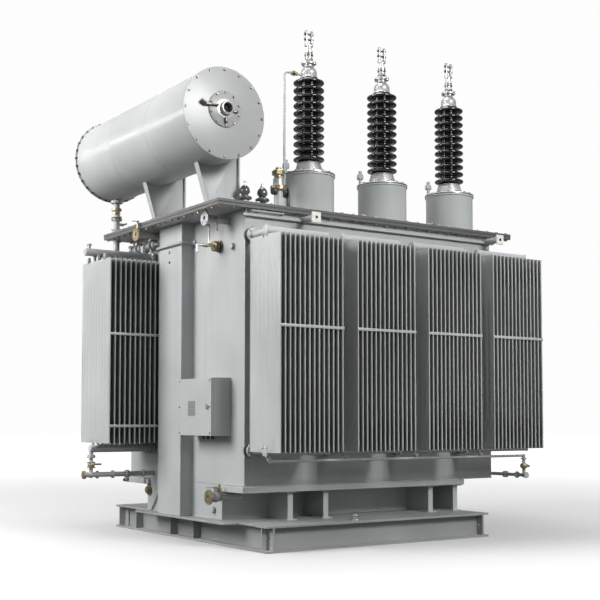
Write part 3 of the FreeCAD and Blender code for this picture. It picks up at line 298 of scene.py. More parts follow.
def bent(corners, bend, steps=6):
    """A path of straight runs whose corners are arcs of radius `bend`, tangent to both runs."""
    corners = [np.array(corner, float) for corner in corners]
    path = [corners[0]]
    for before, corner, after in zip(corners, corners[1:], corners[2:]):
        come, leave = before - corner, after - corner
        come, leave = come / np.linalg.norm(come), leave / np.linalg.norm(leave)
        half = math.acos(np.clip(come @ leave, -1, 1)) / 2
        reach = bend / math.tan(half)
        middle = corner + (come + leave) / np.linalg.norm(come + leave) * bend / math.sin(half)
        first, last = corner + come * reach - middle, corner + leave * reach - middle
        sweep = math.pi - 2 * half
        for k in range(steps + 1):
            a = sweep * k / steps
            path.append(middle + (first * math.sin(sweep - a) + last * math.sin(a)) / math.sin(sweep))
    path.append(corners[-1])
    return np.array(path)


def tube(path, radius, sides=16):
    """A circle carried along a path and closed at both ends."""
    path = np.asarray(path, float)
    along = np.gradient(path, axis=0)
    along /= np.linalg.norm(along, axis=1)[:, None]
    up = np.array((0.41, 0.53, 0.74))
    side = up - (along @ up)[:, None] * along
    side /= np.linalg.norm(side, axis=1)[:, None]
    other = np.cross(along, side)
    angle = np.arange(sides) * 2 * np.pi / sides
    radius = np.broadcast_to(radius, len(path))[:, None, None]
    rings = path[:, None] + radius * (np.cos(angle)[None, :, None] * side[:, None]
                                      + np.sin(angle)[None, :, None] * other[:, None])
    ends = [np.broadcast_to(path[k], (1, sides, 3)) for k in (0, -1)]
    rings = np.concatenate((ends[0], rings, ends[1]))
    return rings.reshape(-1, 3), faces_of(len(rings), sides, round_columns=True)[:, ::-1]


def hexagon_head(size, high, washer=0.0, twist=0.0):
    """The outline of a hexagon with its top corners turned off, on a washer."""
    parts = [lathe([(0, 0), (size, 0), (size, 0.8 * high), (0.86 * size, high), (0, high)],
                   (0, 0, washer), sides=6, twist=twist)]
    if washer:
        parts.append(lathe([(0, 0), (1.25 * size, 0), (1.25 * size, washer), (0, washer)], sides=12))
    return together(parts)


def piece(name, parts, finish, body="transformer", nodes=(), smooth=35):
    """An object made from (points, faces), its doubles merged, riding on a body of the frame."""
    points, faces = together(parts if isinstance(parts, list) else [parts])
    mesh = bpy.data.meshes.new(name)
    mesh.from_pydata(points.tolist(), [], faces.tolist())
    shape = bmesh.new()
    shape.from_mesh(mesh)
    bmesh.ops.remove_doubles(shape, verts=shape.verts, dist=2e-6)
    bmesh.ops.dissolve_degenerate(shape, edges=shape.edges, dist=1e-7)
    bmesh.ops.recalc_face_normals(shape, faces=shape.faces)
    shape.to_mesh(mesh)
    shape.free()
    mesh.shade_smooth()
    mesh.set_sharp_from_angle(angle=math.radians(smooth))
    return settle(bpy.data.objects.new(name, mesh), finish, body, nodes)


def settle(item, finish, body, nodes):
    item.data.materials.clear()
    item.data.materials.append(finish)
    bpy.context.scene.collection.objects.link(item)
    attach(item, body)
    if nodes:
        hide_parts(*nodes)
    return item


def ground(node, edge, finish, body="transformer", other=None, where=None):
    """A copy of a node with doubles merged and its sharp edges taken off. Faces whose middle
    passes `where` take the `other` finish."""
    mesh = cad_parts[node].data.copy()
    shape = bmesh.new()
    shape.from_mesh(mesh)
    bmesh.ops.remove_doubles(shape, verts=shape.verts, dist=1e-5)
    bmesh.ops.dissolve_limit(shape, angle_limit=math.radians(1), verts=shape.verts, edges=shape.edges)
    shape.to_mesh(mesh)
    shape.free()
    mesh.shade_smooth()
    mesh.set_sharp_from_angle(angle=math.radians(50))
    item = settle(bpy.data.objects.new(node + "_ground", mesh), finish, body, (node,))
    if other is not None:
        mesh.materials.append(other)
        for face in mesh.polygons:
            face.material_index = int(where(face.center))
    bevel = item.modifiers.new("edge", "BEVEL")
    bevel.width = edge
    bevel.segments = 2
    bevel.limit_method = "ANGLE"
    bevel.angle_limit = math.radians(40)
    return item


def repaint(finish, *nodes):
    """A node of the frame that keeps its shape gets its finish."""
    for node in nodes:
        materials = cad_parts[node].data.materials
        materials.clear()
        materials.append(finish)


# Painted shade: the skid takes the tank's grey at about three quarters, for the shade low down near the
# floor.
shaded_skid_paint = enamel("shaded_skid_paint", darker(0.72), 0.40)
for node, edge in (("skid_long_rails", 0.004), ("skid_cross_rails", 0.004), ("skid_ledge", 0.004)):
    ground(node, edge, shaded_skid_paint)
for node, edge in (("tank_posts", 0.003), ("tank_stiffeners", 0.005), ("tank_shell", 0.006),
                   ("end_columns", 0.007)):
    ground(node, edge, tank_paint)
pale_paint = enamel("keeper_paint", (0.72, 0.71, 0.66), 0.4)
ground("lifting_trunnions", 0.003, tank_paint, other=pale_paint, where=lambda spot: abs(spot.y) > 1.3375)


def span(node):
    """A node's lowest and highest corner as arrays."""
    low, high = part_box(node)
    return np.array(low), np.array(high)


tank_low, tank_high = span("tank_shell")
column_low, column_high = span("end_columns")
skid_high = span("skid_long_rails")[1]
FLOOR_OF_TANK, WELL_SIDE, SHELF = 0.536, 0.737, 0.480
COLUMN_FRONT, COLUMN_REAR = -0.201, 0.255


def weld(corners, radius=0.005):
    """A fillet bead laid along a seam, its ripples a slow wave in its radius."""
    corners = np.array(corners, float)
    length = np.linalg.norm(corners[1] - corners[0])
    steps = max(8, int(length / 0.02))
    share = np.linspace(0, 1, steps)[:, None]
    path = corners[0] + share * (corners[1] - corners[0])
    ripple = radius * (1 + 0.16 * np.sin(np.arange(steps) * 2.4) + 0.08 * np.sin(np.arange(steps) * 0.7))
    return tube(path, ripple, 8)


seams = []
for y in (COLUMN_FRONT, COLUMN_REAR):
    seams.append(weld([(tank_low[0], y, skid_high[2]), (tank_low[0], y, column_high[2])]))
    seams.append(weld([(tank_high[0], y, SHELF), (tank_high[0], y, column_high[2])]))
for side in (-1, 1):
    seams.append(weld([(tank_low[0], side * WELL_SIDE, skid_high[2] + 0.003),
                       (1.2, side * WELL_SIDE, skid_high[2] + 0.003)], 0.007))
    for z in (FLOOR_OF_TANK, 2.877):
        seams.append(weld([(tank_low[0], side * tank_high[1], z), (tank_high[0], side * tank_high[1], z)],
                          0.004))
seams.append(weld([(tank_low[0], -WELL_SIDE, skid_high[2] + 0.003),
                   (tank_low[0], WELL_SIDE, skid_high[2] + 0.003)], 0.007))
piece("tank_seams", seams, tank_paint)

# Foot and cap plates on the posts.
POSTS = (-0.768, -0.384, 0.850, 1.165)
plates = []
for side in (-1, 1):
    front = side * (WELL_SIDE + 0.350)
    for x in POSTS:
        for z, reach in ((skid_high[2], 0.05), (SHELF - 0.010, 0.062)):
            y0, y1 = sorted((front - side * 0.16, front + side * 0.045))
            plates.append(slab((x - reach, y0, z), (x + reach, y1, z + 0.010), 0.003))
piece("post_plates", plates, tank_paint)

keepers = []
for side in (-1, 1):
    for x in (-0.656, 1.560):
        keepers.append(lathe([(0, 0), (0.020, 0), (0.020, 0.003), (0.013, 0.005), (0, 0.005)],
                             (x, side * 1.347, 2.895), (0, side, 0), 24))
piece("trunnion_plugs", keepers, shade_paint)

# Round bosses on the end wall, one of them the earth strap's, and a diagonal brace near the rear.
brace_y = 0.62
brace = tube([(tank_low[0] - 0.012, brace_y, skid_high[2] + 0.01),
              (tank_low[0] - 0.012, brace_y - 0.24, 0.52)],
             0.013, 10)
bosses = [peg(0.030, 0.030, 0.004, (tank_low[0], y, z), LEFT, 24)
          for y, z in ((-0.60, 0.31), (0.69, 0.50), (0.69, 0.86), (-0.92, 2.64))]
piece("end_wall_fittings", [brace] + bosses, tank_paint)

# ---------------------------------------------------------------- cover joint
# A flat cover is drawn down on the tank's rim through a black nitrile gasket by M20 bolts,
# yellow passivated, with their heads above and their nuts and thread ends below.
# Painted shade: the grey at about a quarter of the tank's, for the upright outer faces of the cover
# joint.
shaded_edge_paint = enamel("shaded_edge_paint", darker(0.26), 0.42)
cover_low, cover_high = span("cover_plate")
rim_low = span("tank_rim")[0]
EDGE_REACH = 0.004


def outer(spot):
    """True on the upright faces round the outside of the cover joint, which take the paint with painted
    shade.
    """
    return spot.y < cover_low[1] + EDGE_REACH or spot.x < cover_low[0] + EDGE_REACH


ground("tank_rim", 0.003, tank_paint, other=shaded_edge_paint, where=outer)
ground("cover_plate", 0.003, tank_paint, other=shaded_edge_paint, where=outer)


def nitrile(name):
    mix = Finish(name)
    grain = mix.noise(260.0, 3.0)
    colour = mix.blend(mix.spread(grain, 0.3, 0.7), rgb(0.012, 0.012, 0.012), rgb(0.035, 0.034, 0.032))
    return mix.coat(Base_Color=colour, Roughness=mix.spread(grain, 0.3, 0.7, 0.6, 0.8),
                    Normal=mix.relief(grain, 0.0004, 0.5))


def yellow_zinc(name, warm=(0.50, 0.40, 0.23), deep=(0.27, 0.22, 0.14)):
    """Yellow passivation on zinc: gold that drifts to olive and rose, duller in the grain."""
    mix = Finish(name)
    drift = mix.spread(mix.noise(28.0, 3.0), 0.35, 0.65)
    grain = mix.noise(300.0, 3.0)
    colour = mix.blend(drift, rgb(*deep), rgb(*warm))
    colour = mix.blend(mix.spread(mix.noise(60.0, 2.0), 0.55, 0.72, 0.0, 0.5), colour,
                       rgb(0.50, 0.50, 0.30))
    rough = mix.spread(grain, 0.3, 0.7, 0.26, 0.46)
    return mix.coat(Base_Color=colour, Metallic=0.85, Roughness=rough,
                    Normal=mix.relief(grain, 0.0003, 0.35))


gasket_black = nitrile("gasket_black")
zinc_gold = yellow_zinc("yellow_zinc")
repaint(gasket_black, "cover_gasket")

INSET, PITCH, HEAD = 0.035, 0.130, 0.017


def evenly(low, high):
    """Places along a side, the pitch stretched so that they end at both corners."""
    return np.linspace(low, high, round((high - low) / PITCH) + 1)


bolt_x = evenly(cover_low[0] + INSET, cover_high[0] - INSET)
bolt_y = evenly(cover_low[1] + INSET, cover_high[1] - INSET)
round_the_cover = [(x, y) for x in bolt_x for y in (bolt_y[0], bolt_y[-1])]
round_the_cover += [(x, y) for y in bolt_y[1:-1] for x in (bolt_x[0], bolt_x[-1])]
turn = np.random.default_rng(7).uniform(0, math.pi / 3, 4)
heads, nuts = [], []
for k, twist in enumerate(turn):
    spots = np.array(round_the_cover[k::len(turn)])
    flat = np.zeros(len(spots))
    heads.append(copies(hexagon_head(HEAD, 0.0125, 0.003, twist),
                        np.column_stack((spots, flat + cover_high[2] - 0.001))))
    under = [lathe([(0, -0.010), (HEAD * 0.66, -0.010), (HEAD * 0.78, -0.008), (HEAD * 0.78, 0), (0, 0)],
                   (0, 0, -0.002), sides=6, twist=twist),
             lathe([(0, -0.002), (HEAD, -0.002), (HEAD, 0.001), (0, 0.001)], sides=12),
             lathe([(0, -0.016), (0.007, -0.016), (0.008, -0.014), (0.008, 0), (0, 0)], sides=8)]
    nuts.append(copies(together(under), np.column_stack((spots, flat + rim_low[2]))))
piece("cover_bolt_heads", heads, tank_paint, smooth=25)
piece("cover_nuts", nuts, zinc_gold, nodes=("cover_bolts",), smooth=25)

# Thin breather pipe under the front of the cover and the round bar that wraps the end column.
breather = tube(bent([(-1.215, -1.118, 2.925), (-1.215, -1.166, 2.925), (-0.890, -1.166, 2.925),
                      (-0.890, -1.118, 2.925)], 0.014), 0.010, 12)
out = column_low[0] - 0.016
ring_high = 2.752
conduit = tube(bent([(tank_low[0] - 0.004, COLUMN_FRONT - 0.030, ring_high),
                     (out, COLUMN_FRONT - 0.030, ring_high), (out, COLUMN_REAR + 0.020, ring_high),
                     (tank_low[0] - 0.004, COLUMN_REAR + 0.020, ring_high)], 0.022), 0.0145, 14)
knobs = [peg(0.027, 0.030, 0.010, (tank_low[0], COLUMN_FRONT - 0.030, ring_high), LEFT, 20)]
for y, z in ((0.04, 2.690), (0.04, 2.600), (-0.14, 2.752)):
    knobs.append(peg(0.014, 0.014, 0.004, (column_low[0] + 0.002, y, z), LEFT, 16))
piece("conduits", [breather, conduit] + knobs, shade_paint)


# ---------------------------------------------------------------- radiators
# Each panel is two pressed sheets seam-welded round the edge and between the flutes, with a
# rolled bead down each side. Panels hang in rows on header pipes and are tied across the middle.
SEAM = 0.0016


def panels(xs, y_inner, y_outer, z_low, z_high, thick=0.014, flutes=7):
    """A row of panels. Half thickness over the face: a bead at the edges, sine flutes between,
    which draw together towards the header near both ends and fade out at the seam."""
    width = abs(y_outer - y_inner)
    margin = np.array((0, 0.003, 0.009, 0.016))
    across = np.concatenate((margin, np.linspace(0.03, 0.97, 8 * flutes + 1) * width, width - margin))
    across = np.sort(across) / width
    ends = np.array((0, 0.004, 0.012, 0.03, 0.06, 0.10, 0.15, 0.21, 0.28, 0.36))
    tall = z_high - z_low
    up = np.concatenate((ends, (0.5 * tall,), tall - ends[::-1]))
    s, z = np.meshgrid(across, up, indexing="ij")
    from_edge = np.minimum(s, 1 - s) * width
    from_end = np.minimum(z, tall - z)
    half = thick / 2
    roll = np.sqrt(np.maximum(0, half ** 2 - (from_edge - half) ** 2))
    bead = np.where(from_edge < 2 * half, roll, SEAM)
    gather = np.clip(1 - from_end / 0.30, 0, 1) ** 1.5
    q = 0.5 + (s - 0.5) * (1.06 + 1.1 * gather)
    inside = (q > 0.0) & (q < 1.0) & (from_edge > 0.016)
    flute = np.where(inside, SEAM + (half - 0.0022) * np.abs(np.sin(np.pi * flutes * q)) ** 0.7, SEAM)
    depth = np.maximum(bead, flute * np.clip(from_end / 0.02, 0, 1) + 0.0010)
    depth = np.where(from_end < 0.003, 0.0025, depth)
    depth = np.where(from_edge < 0.0005, 0.0004, depth)
    y = y_inner + s * (y_outer - y_inner)
    near = np.stack((-depth, y, z + z_low), axis=-1)
    far = np.stack((depth, y, z + z_low), axis=-1)[::-1]
    loop = np.concatenate((near, far), axis=0)
    body = (loop.reshape(-1, 3), faces_of(len(loop), loop.shape[1], round_rows=True))
    lids = []
    count = len(across)
    for k in (0, -1):
        strip = np.stack((near[:, k], far[::-1][:, k]))
        lids.append((strip.reshape(-1, 3), faces_of(2, count)))
    shape = together([body] + lids)
    places = np.zeros((len(xs), 3))
    places[:, 0] = xs
    return copies(shape, places)


FIN, FIN_PITCH, FINS = 0.014, 0.0485, 14
BRANCH_ROOT, BRANCH_INSET, PANEL_INNER, PANEL_OUTER = 1.228, 0.047, 1.247, 1.726
header_y, header_low, header_high, header_size = 1.486, 0.849, 2.700, 0.039
front_start, BANK_PITCH = -1.282, 0.7945
BANK_LENGTH = FIN_PITCH * (FINS - 1) + FIN


def fin_gap_shade_mask(mix):
    """A mask of painted shade: the depths of the gaps in the banks on both long sides, repeated bank by
    bank along X.
    """
    x, y, z = mix.axes()
    bank = (x - front_start) / BANK_PITCH
    place = (bank - bank.maths("FLOOR", bank, 0.0)) * BANK_PITCH
    inner = mix.spread(place, 0.006, 0.012) * mix.spread(BANK_LENGTH - place, 0.006, 0.012)
    depth = PANEL_OUTER - y.maths("ABSOLUTE", y, 0.0)
    deep = mix.spread(depth, 0.009, 0.034) * mix.spread(depth, 0.450, 0.470, 1.0, 0.0)
    high = mix.spread(z, 0.835, 0.850) * mix.spread(z, 2.640, 2.668, 1.0, 0.0)
    return inner * deep * high


# The radiators' grey has shade painted deep in the gaps between the fins.
radiator_paint = enamel("radiator_paint", GREY, painted_shade_mask=fin_gap_shade_mask)


def flange_bolts(place, along, ring, count, size=0.011, high=0.009, start=0.0):
    """Hexagon heads evenly round a flange's face."""
    angle = start + np.arange(count) * 2 * np.pi / count
    spots = np.column_stack((ring * np.cos(angle), ring * np.sin(angle), np.zeros(count)))
    points, faces = hexagon_head(size, high, 0.0015)
    return copies((stand(points, (0, 0, 0), along), faces), stand(spots, place, along))


def side_bank(start, side):
    """Panels, headers with capped ends, necks, tie strap, branches and flanges of one radiator."""
    xs = start + FIN / 2 + FIN_PITCH * np.arange(FINS)
    end = start + FIN_PITCH * (FINS - 1) + FIN
    y = side * header_y
    parts = [panels(xs, side * PANEL_INNER, side * PANEL_OUTER, 0.839, 2.663, FIN)]
    for z in (header_low, header_high):
        parts.append(peg(header_size, end - start, 0.012, (start, y, z), RIGHT, 36))
        towards = 1 if z > 1 else -1
        neck = lathe([(0.020, 0), (0.014, 0.012), (0.012, 0.030)], (0, 0, 0), (0, 0, -towards), 12)
        parts.append(copies(neck, [(x, y + shift, z - towards * (header_size - 0.012))
                                   for x in xs for shift in (-0.03, 0.03)]))
        for x, way in ((start, -1), (end, 1)):
            plate = sorted((x - way * 0.014, x - way * 0.002))
            parts.append(slab((plate[0], y - 0.034, z - 0.040), (plate[1], y + 0.034, z + 0.040), 0.003))
        plug = (start + 0.02, y, z + towards * (header_size - 0.003))
        parts.append(peg(0.013, 0.016, 0.003, plug, (0, 0, towards), 16))
        branch = (start + BRANCH_INSET, side * BRANCH_ROOT, z)
        parts.append(peg(0.030, header_y - BRANCH_ROOT, 0.002, branch, (0, side, 0), 28))
        parts.append(peg(0.065, 0.016, 0.002, branch, (0, side, 0), 36))
        parts.append(flange_bolts((branch[0], side * 1.244, z), (0, side, 0), 0.051, 4,
                                  start=math.pi / 4))
    faces = sorted((side * 1.722, side * 1.7315))
    parts.append(slab((start - 0.004, faces[0], 1.8755), (end + 0.004, faces[1], 1.9005), 0.002))
    return parts


for number in range(4):
    start = front_start + number * BANK_PITCH
    node = f"front_radiator_{number + 1}"
    piece(node + "_panels", side_bank(start, -1), radiator_paint, nodes=(node,))
    piece(f"rear_radiator_{number + 1}_panels", side_bank(start, 1), radiator_paint,
          nodes=("rear_radiators",) if number == 0 else ())
# Painted shade: the radiator valves take the grey at about a third of its brightness.
shaded_valve_paint = enamel("shaded_valve_paint", darker(0.34), 0.45)
for word in ("front", "rear"):
    ground(word + "_radiator_valves", 0.002, shaded_valve_paint)
side_caps, wafers = [], []
for side in (-1, 1):
    for number in range(4):
        x = front_start + number * BANK_PITCH + BRANCH_INSET
        for z in (header_low, header_high):
            side_caps.append(peg(0.017, 0.016, 0.005, (x, side * 1.208, z + 0.070), UP, 6))
            wafers.append(peg(0.0585, 0.038, 0.004, (x, side * 1.189, z), (0, side, 0), 40))
piece("valve_spindle_caps", side_caps, zinc_gold)


def cast_metal(name, pale=(0.66, 0.66, 0.65), dull=(0.44, 0.44, 0.43), rough=0.30):
    """Cast and turned metal: fine grain, a little oxide in patches, faint turning marks."""
    mix = Finish(name)
    patch = mix.spread(mix.noise(14.0, 4.0), 0.38, 0.66)
    grain = mix.noise(420.0, 3.0)
    rings = mix.noise(260.0, 2.0, (0.05, 0.05, 1.0))
    colour = mix.blend(patch, rgb(*dull), rgb(*pale))
    return mix.coat(Base_Color=colour, Metallic=0.75,
                    Roughness=mix.spread(patch, 0, 1, rough + 0.14, rough),
                    Normal=mix.relief(grain + rings, 0.0003, 0.35))


dark_cast = cast_metal("dark_casting", (0.10, 0.10, 0.10), (0.045, 0.045, 0.045), 0.36)
piece("radiator_valve_bodies", wafers, dark_cast)

# the radiator hung on the end wall, with a longer header and wider panels
END_FINS, END_PITCH, end_start = 12, 0.052, -1.886


def end_fin_gap_shade_mask(mix):
    """A mask of painted shade: the depths of the gaps in the bank on the end wall."""
    x, y, z = mix.axes()
    deep = mix.spread(y, 0.280, 0.305) * mix.spread(y, 0.891, 0.916, 1.0, 0.0)
    high = mix.spread(z, 0.886, 0.900) * mix.spread(z, 2.615, 2.645, 1.0, 0.0)
    inner = mix.spread(x, end_start + 0.006, end_start + 0.012) * mix.spread(x, -1.306, -1.300, 1.0, 0.0)
    return deep * high * inner


# The end radiator's grey has shade painted deep in the gaps between its fins.
end_radiator_paint = enamel("end_radiator_paint", GREY, painted_shade_mask=end_fin_gap_shade_mask)
end_y, end_low, end_high, end_size = 0.598, 0.838, 2.717, 0.037
xs = end_start + FIN / 2 + END_PITCH * np.arange(END_FINS)
parts = [panels(xs, 0.271, 0.925, 0.890, 2.640, FIN, 9)]
parts.append(peg(end_size, 2.003 - 1.253, 0.010, (-2.003, end_y, end_high), RIGHT, 36))
parts.append(peg(end_size, 1.935 - 1.253, 0.010, (-1.935, end_y, end_low), RIGHT, 36))
for x, z in ((-1.310, end_high), (-1.330, end_low), (-1.290, end_low)):
    parts.append(peg(0.064, 0.014, 0.002, (x, end_y, z), RIGHT, 32))
    parts.append(flange_bolts((x, end_y, z), LEFT, 0.051, 6))
for z, towards in ((end_high, 1), (end_low, -1)):
    neck = lathe([(0.024, 0), (0.016, 0.016), (0.013, 0.050)], (0, 0, 0), (0, 0, -towards), 14)
    parts.append(copies(neck, [(x, end_y + shift, z - towards * (end_size - 0.014))
                               for x in xs for shift in (-0.05, 0.05)]))
for z in (1.919, 1.054):
    parts.append(slab((end_start - 0.004, 0.2655, z - 0.0125), (xs[-1] + 0.011, 0.275, z + 0.0125),
                      0.002))
parts.append(peg(0.016, 0.068, 0.003, (-1.960, end_y, end_high), UP, 20))
parts.append(peg(0.026, 0.020, 0.006, (-1.960, end_y, end_high + 0.062), UP, 8))
for shift in (-0.19, 0.19):
    parts.append(slab((end_start - 0.006, end_y + shift - 0.012, 2.630),
                      (end_start + 0.024, end_y + shift + 0.012, 2.690), 0.004))
parts.append(peg(0.020, 0.078, 0.002, (-1.917, end_y, 0.760), UP, 24))
parts.append(peg(0.040, 0.012, 0.002, (-1.917, end_y, 0.760), UP, 32))
parts.append(flange_bolts((-1.917, end_y, 0.772), UP, 0.030, 4, 0.007, 0.006))
piece("end_radiator_panels", parts, end_radiator_paint, nodes=("end_radiator",))


# ---------------------------------------------------------------- conservator
# A rolled drum on two plate saddles, closed by bolted end discs. The front disc carries the
# port of the oil gauge, a machined casting with a dark glass in its bore.
silver = cast_metal("cast_aluminium")
DRUM = (-1.458, 0.0, 3.756)
DRUM_SIZE, DRUM_FRONT, DRUM_REAR = 0.397, -1.100, 1.186
profile = [(0, 0), (DRUM_SIZE, 0)]
for place in (0.012, 0.75, 1.52, DRUM_REAR - DRUM_FRONT - 0.012):
    for step, raise_by in ((-0.006, 0), (-0.003, 0.0022), (0.003, 0.0022), (0.006, 0)):
        profile.append((DRUM_SIZE + raise_by, place + step))
profile += [(DRUM_SIZE, DRUM_REAR - DRUM_FRONT), (0, DRUM_REAR - DRUM_FRONT)]
shell = [lathe(profile, (DRUM[0], DRUM_FRONT, DRUM[2]), REAR, 128)]
shell.append(lathe([(0.390, -0.014), (0.412, -0.014), (0.414, -0.011), (0.414, 0.0), (0.390, 0.0)],
                   (DRUM[0], DRUM_REAR, DRUM[2]), REAR, 128))
shell.append(peg(0.032, 0.050, 0.002, (DRUM[0], 1.075, 3.333), UP, 32))
shell.append(peg(0.060, 0.014, 0.002, (DRUM[0], 1.075, 3.333), UP, 36))
shell.append(flange_bolts((DRUM[0], 1.075, 3.347), UP, 0.046, 4, 0.009, 0.008, math.pi / 4))
piece("conservator_shell", shell, tank_paint, nodes=("conservator_drum",))


def heads_round(middle, way, ring, count, sizes, start=math.pi / 2):
    """Hexagon heads evenly round a point, on a face that looks along Y."""
    angle = start + np.arange(count) * 2 * np.pi / count
    spots = np.column_stack((ring * np.cos(angle), np.zeros(count), ring * np.sin(angle)))
    points, faces = hexagon_head(*sizes)
    return copies((stand(points, (0, 0, 0), (0, way, 0)), faces), spots + np.array(middle))


discs, disc_bolts = [], []
for y, way in ((DRUM_FRONT, -1), (DRUM_REAR, 1)):
    discs.append(peg(0.403, 0.014, 0.003, (DRUM[0], y, DRUM[2]), (0, way, 0), 128))
    disc_bolts.append(heads_round((DRUM[0], y + way * 0.0135, DRUM[2]), way, 0.379, 16,
                                  (0.0115, 0.0082, 0.0018)))
piece("conservator_discs", discs, tank_paint, nodes=("conservator_covers",))
dark_zinc = yellow_zinc("weathered_zinc", (0.20, 0.19, 0.17), (0.10, 0.095, 0.085))
disc_bolts.append(heads_round((DRUM[0], DRUM_REAR - 0.012, DRUM[2]), -1, 0.406, 32,
                              (0.010, 0.016, 0.002), 0))
piece("conservator_bolts", disc_bolts, dark_zinc, smooth=25)

port = (DRUM[0], DRUM_FRONT - 0.014, DRUM[2] + 0.034)
plate = lathe([(0, 0), (0.160, 0), (0.160, 0.010), (0.157, 0.012), (0, 0.012)], port, FRONT, 72)
ring = lathe([(0, 0.012), (0.084, 0.012), (0.084, 0.020), (0.062, 0.024), (0.060, 0.054), (0.056, 0.060),
              (0.048, 0.062),
              (0.043, 0.058), (0.043, 0.010), (0, 0.010)], port, FRONT, 72)
hub = []
for low, high, edge in (((-0.205, -0.034, 0.004), (-0.074, -0.014, 0.024), 0.006),
                        ((0.070, -0.034, -0.026), (0.118, -0.014, -0.006), 0.006),
                        ((-0.010, -0.040, -0.128), (0.010, -0.010, -0.076), 0.005)):
    hub.append(slab(np.add(port, low), np.add(port, high), edge))
hub.append(peg(0.017, 0.050, 0.004, np.add(port, (-0.200, -0.024, 0.014)), (-0.7, 0, 0.35), 20))
piece("gauge_port_flange", plate, tank_paint, nodes=("gauge_port",))
piece("gauge_port_ring", ring, silver)
piece("gauge_port_arms", hub, dark_zinc)
piece("gauge_port_bolts", heads_round((port[0], port[1] - 0.012, port[2]), -1, 0.144, 10,
                                      (0.010, 0.009, 0.0016)),
      dark_zinc, smooth=25)


def dark_glass(name):
    mix = Finish(name)
    smear = mix.noise(40.0, 3.0)
    colour = mix.blend(mix.spread(smear, 0.4, 0.7), rgb(0.006, 0.006, 0.007), rgb(0.02, 0.021, 0.024))
    return mix.coat(Base_Color=colour, Roughness=mix.spread(smear, 0.3, 0.7, 0.04, 0.16))


repaint(dark_glass("gauge_glass"), "gauge_window")
ground("conservator_saddles", 0.003, tank_paint)
feet = []
for y in (-0.800, 0.221):
    feet.append(slab((-1.490, y - 0.060, cover_high[2]), (-1.110, y + 0.060, cover_high[2] + 0.012),
                     0.003))
    spots = [(x, y + shift, cover_high[2] + 0.012) for x in (-1.40, -1.20) for shift in (-0.042, 0.042)]
    feet.append(copies(hexagon_head(0.013, 0.010, 0.002), spots))
piece("saddle_feet", feet, tank_paint, smooth=25)

# ---------------------------------------------------------------- feed pipe
# The conservator's pipe drops through the cover's overhang and turns into the end wall. It has
# a brass valve and flanged unions, one above the other.
FEED = (-1.458, 1.075)
ground("feed_pipe", 0.002, tank_paint)
brass_rings = []
for z, size, high in ((3.240, 0.050, 0.026), (3.205, 0.040, 0.020), (3.150, 0.058, 0.010)):
    brass_rings.append(peg(size, high, 0.003, (*FEED, z), UP, 8 if size == 0.040 else 36))
for z in (3.3135, 3.154):
    brass_rings.append(flange_bolts((*FEED, z), UP, 0.043, 4, 0.008, 0.007, math.pi / 4))
OIL_X, OIL_HIGH = tank_low[0] - 0.070, 2.830
under_cover = []
for y, size in ((0.500, 0.058), (0.640, 0.046), (0.800, 0.058), (0.930, 0.046)):
    under_cover.append(peg(size, 0.014, 0.003, (OIL_X, y, OIL_HIGH), REAR, 32))
    under_cover.append(peg(size * 0.62, 0.080, 0.008, (OIL_X, y - 0.035, OIL_HIGH), REAR, 24))
under_cover.append(tube(bent([(tank_low[0], 0.445, OIL_HIGH), (OIL_X, 0.445, OIL_HIGH),
                              (OIL_X, 1.020, OIL_HIGH)], 0.035), 0.022, 16))
under_cover.append(peg(0.030, 0.060, 0.006, (OIL_X, 0.720, 2.770), UP, 8))
piece("oil_line_flanges", under_cover, shade_paint)
for y in (0.560, 0.870):
    brass_rings.append(peg(0.020, 0.050, 0.004, (OIL_X, y, 2.852), UP, 8))
    brass_rings.append(peg(0.012, 0.030, 0.003, (OIL_X, y, 2.778), UP, 8))
piece("feed_pipe_brass", brass_rings, zinc_gold, smooth=30)


# ---------------------------------------------------------------- high-voltage bushings
# Each stands on a rolled turret: a cast flange, a black-glazed porcelain with eleven sheds, a
# turned aluminium head and a forked clamp for the line.
def glaze(name, colour, deep, rough=0.07):
    """Fired glaze: thin on the edges, pooled in the hollows, glassy, with a slow waviness."""
    mix = Finish(name)
    pool = mix.spread(mix.noise(18.0, 3.0), 0.35, 0.7)
    shade = mix.blend(pool, rgb(*deep), rgb(*colour))
    wave = mix.relief(mix.noise(34.0, 2.0), 0.0012, 0.20)
    specks = mix.spread(mix.noise(500.0, 2.0), 0.70, 0.78, 0.0, 0.08)
    return mix.coat(Base_Color=shade, Roughness=specks + rough, Normal=wave, Coat_Weight=0.6,
                    Coat_Roughness=0.03, Specular_IOR_Level=0.6)


black_glaze = glaze("black_glaze", (0.010, 0.009, 0.009), (0.004, 0.0035, 0.0035))
CLAMPS = (0.386, 0.440)
BUSHINGS = [(-0.198 + 0.8975 * k, -0.560) for k in range(3)]
TURRET_TOP, SHED_LOW, SHED_HIGH, SHEDS = 3.455, 3.584, 4.412, 11
ground("turrets", 0.002, tank_paint)
ground("bushing_flanges", 0.002, silver)
SHED_PITCH = (SHED_HIGH - SHED_LOW) / SHEDS
shed = [(0.088, 0.000), (0.092, 0.006), (0.104, 0.012), (0.126, 0.016), (0.142, 0.019), (0.148, 0.024),
        (0.150, 0.031), (0.149, 0.038), (0.143, 0.044), (0.128, 0.049), (0.108, 0.054), (0.094, 0.060),
        (0.088, 0.068)]
column = [(0, 0)] + [(r, z + k * SHED_PITCH) for k in range(SHEDS) for r, z in shed]
column += [(0.088, SHED_HIGH - SHED_LOW), (0, SHED_HIGH - SHED_LOW)]
head = [(0, 0), (0.086, 0), (0.088, 0.008), (0.084, 0.016), (0.080, 0.022), (0.080, 0.056),
        (0.076, 0.074),
        (0.064, 0.094), (0.048, 0.108), (0.044, 0.116), (0.044, 0.134), (0.066, 0.138), (0.074, 0.144),
        (0.075, 0.152), (0.072, 0.160), (0.056, 0.166), (0.040, 0.170), (0.036, 0.200), (0.032, 0.250),
        (0.038, 0.254), (0.038, 0.272), (0.026, 0.276), (0.026, 0.322), (0, 0.322)]
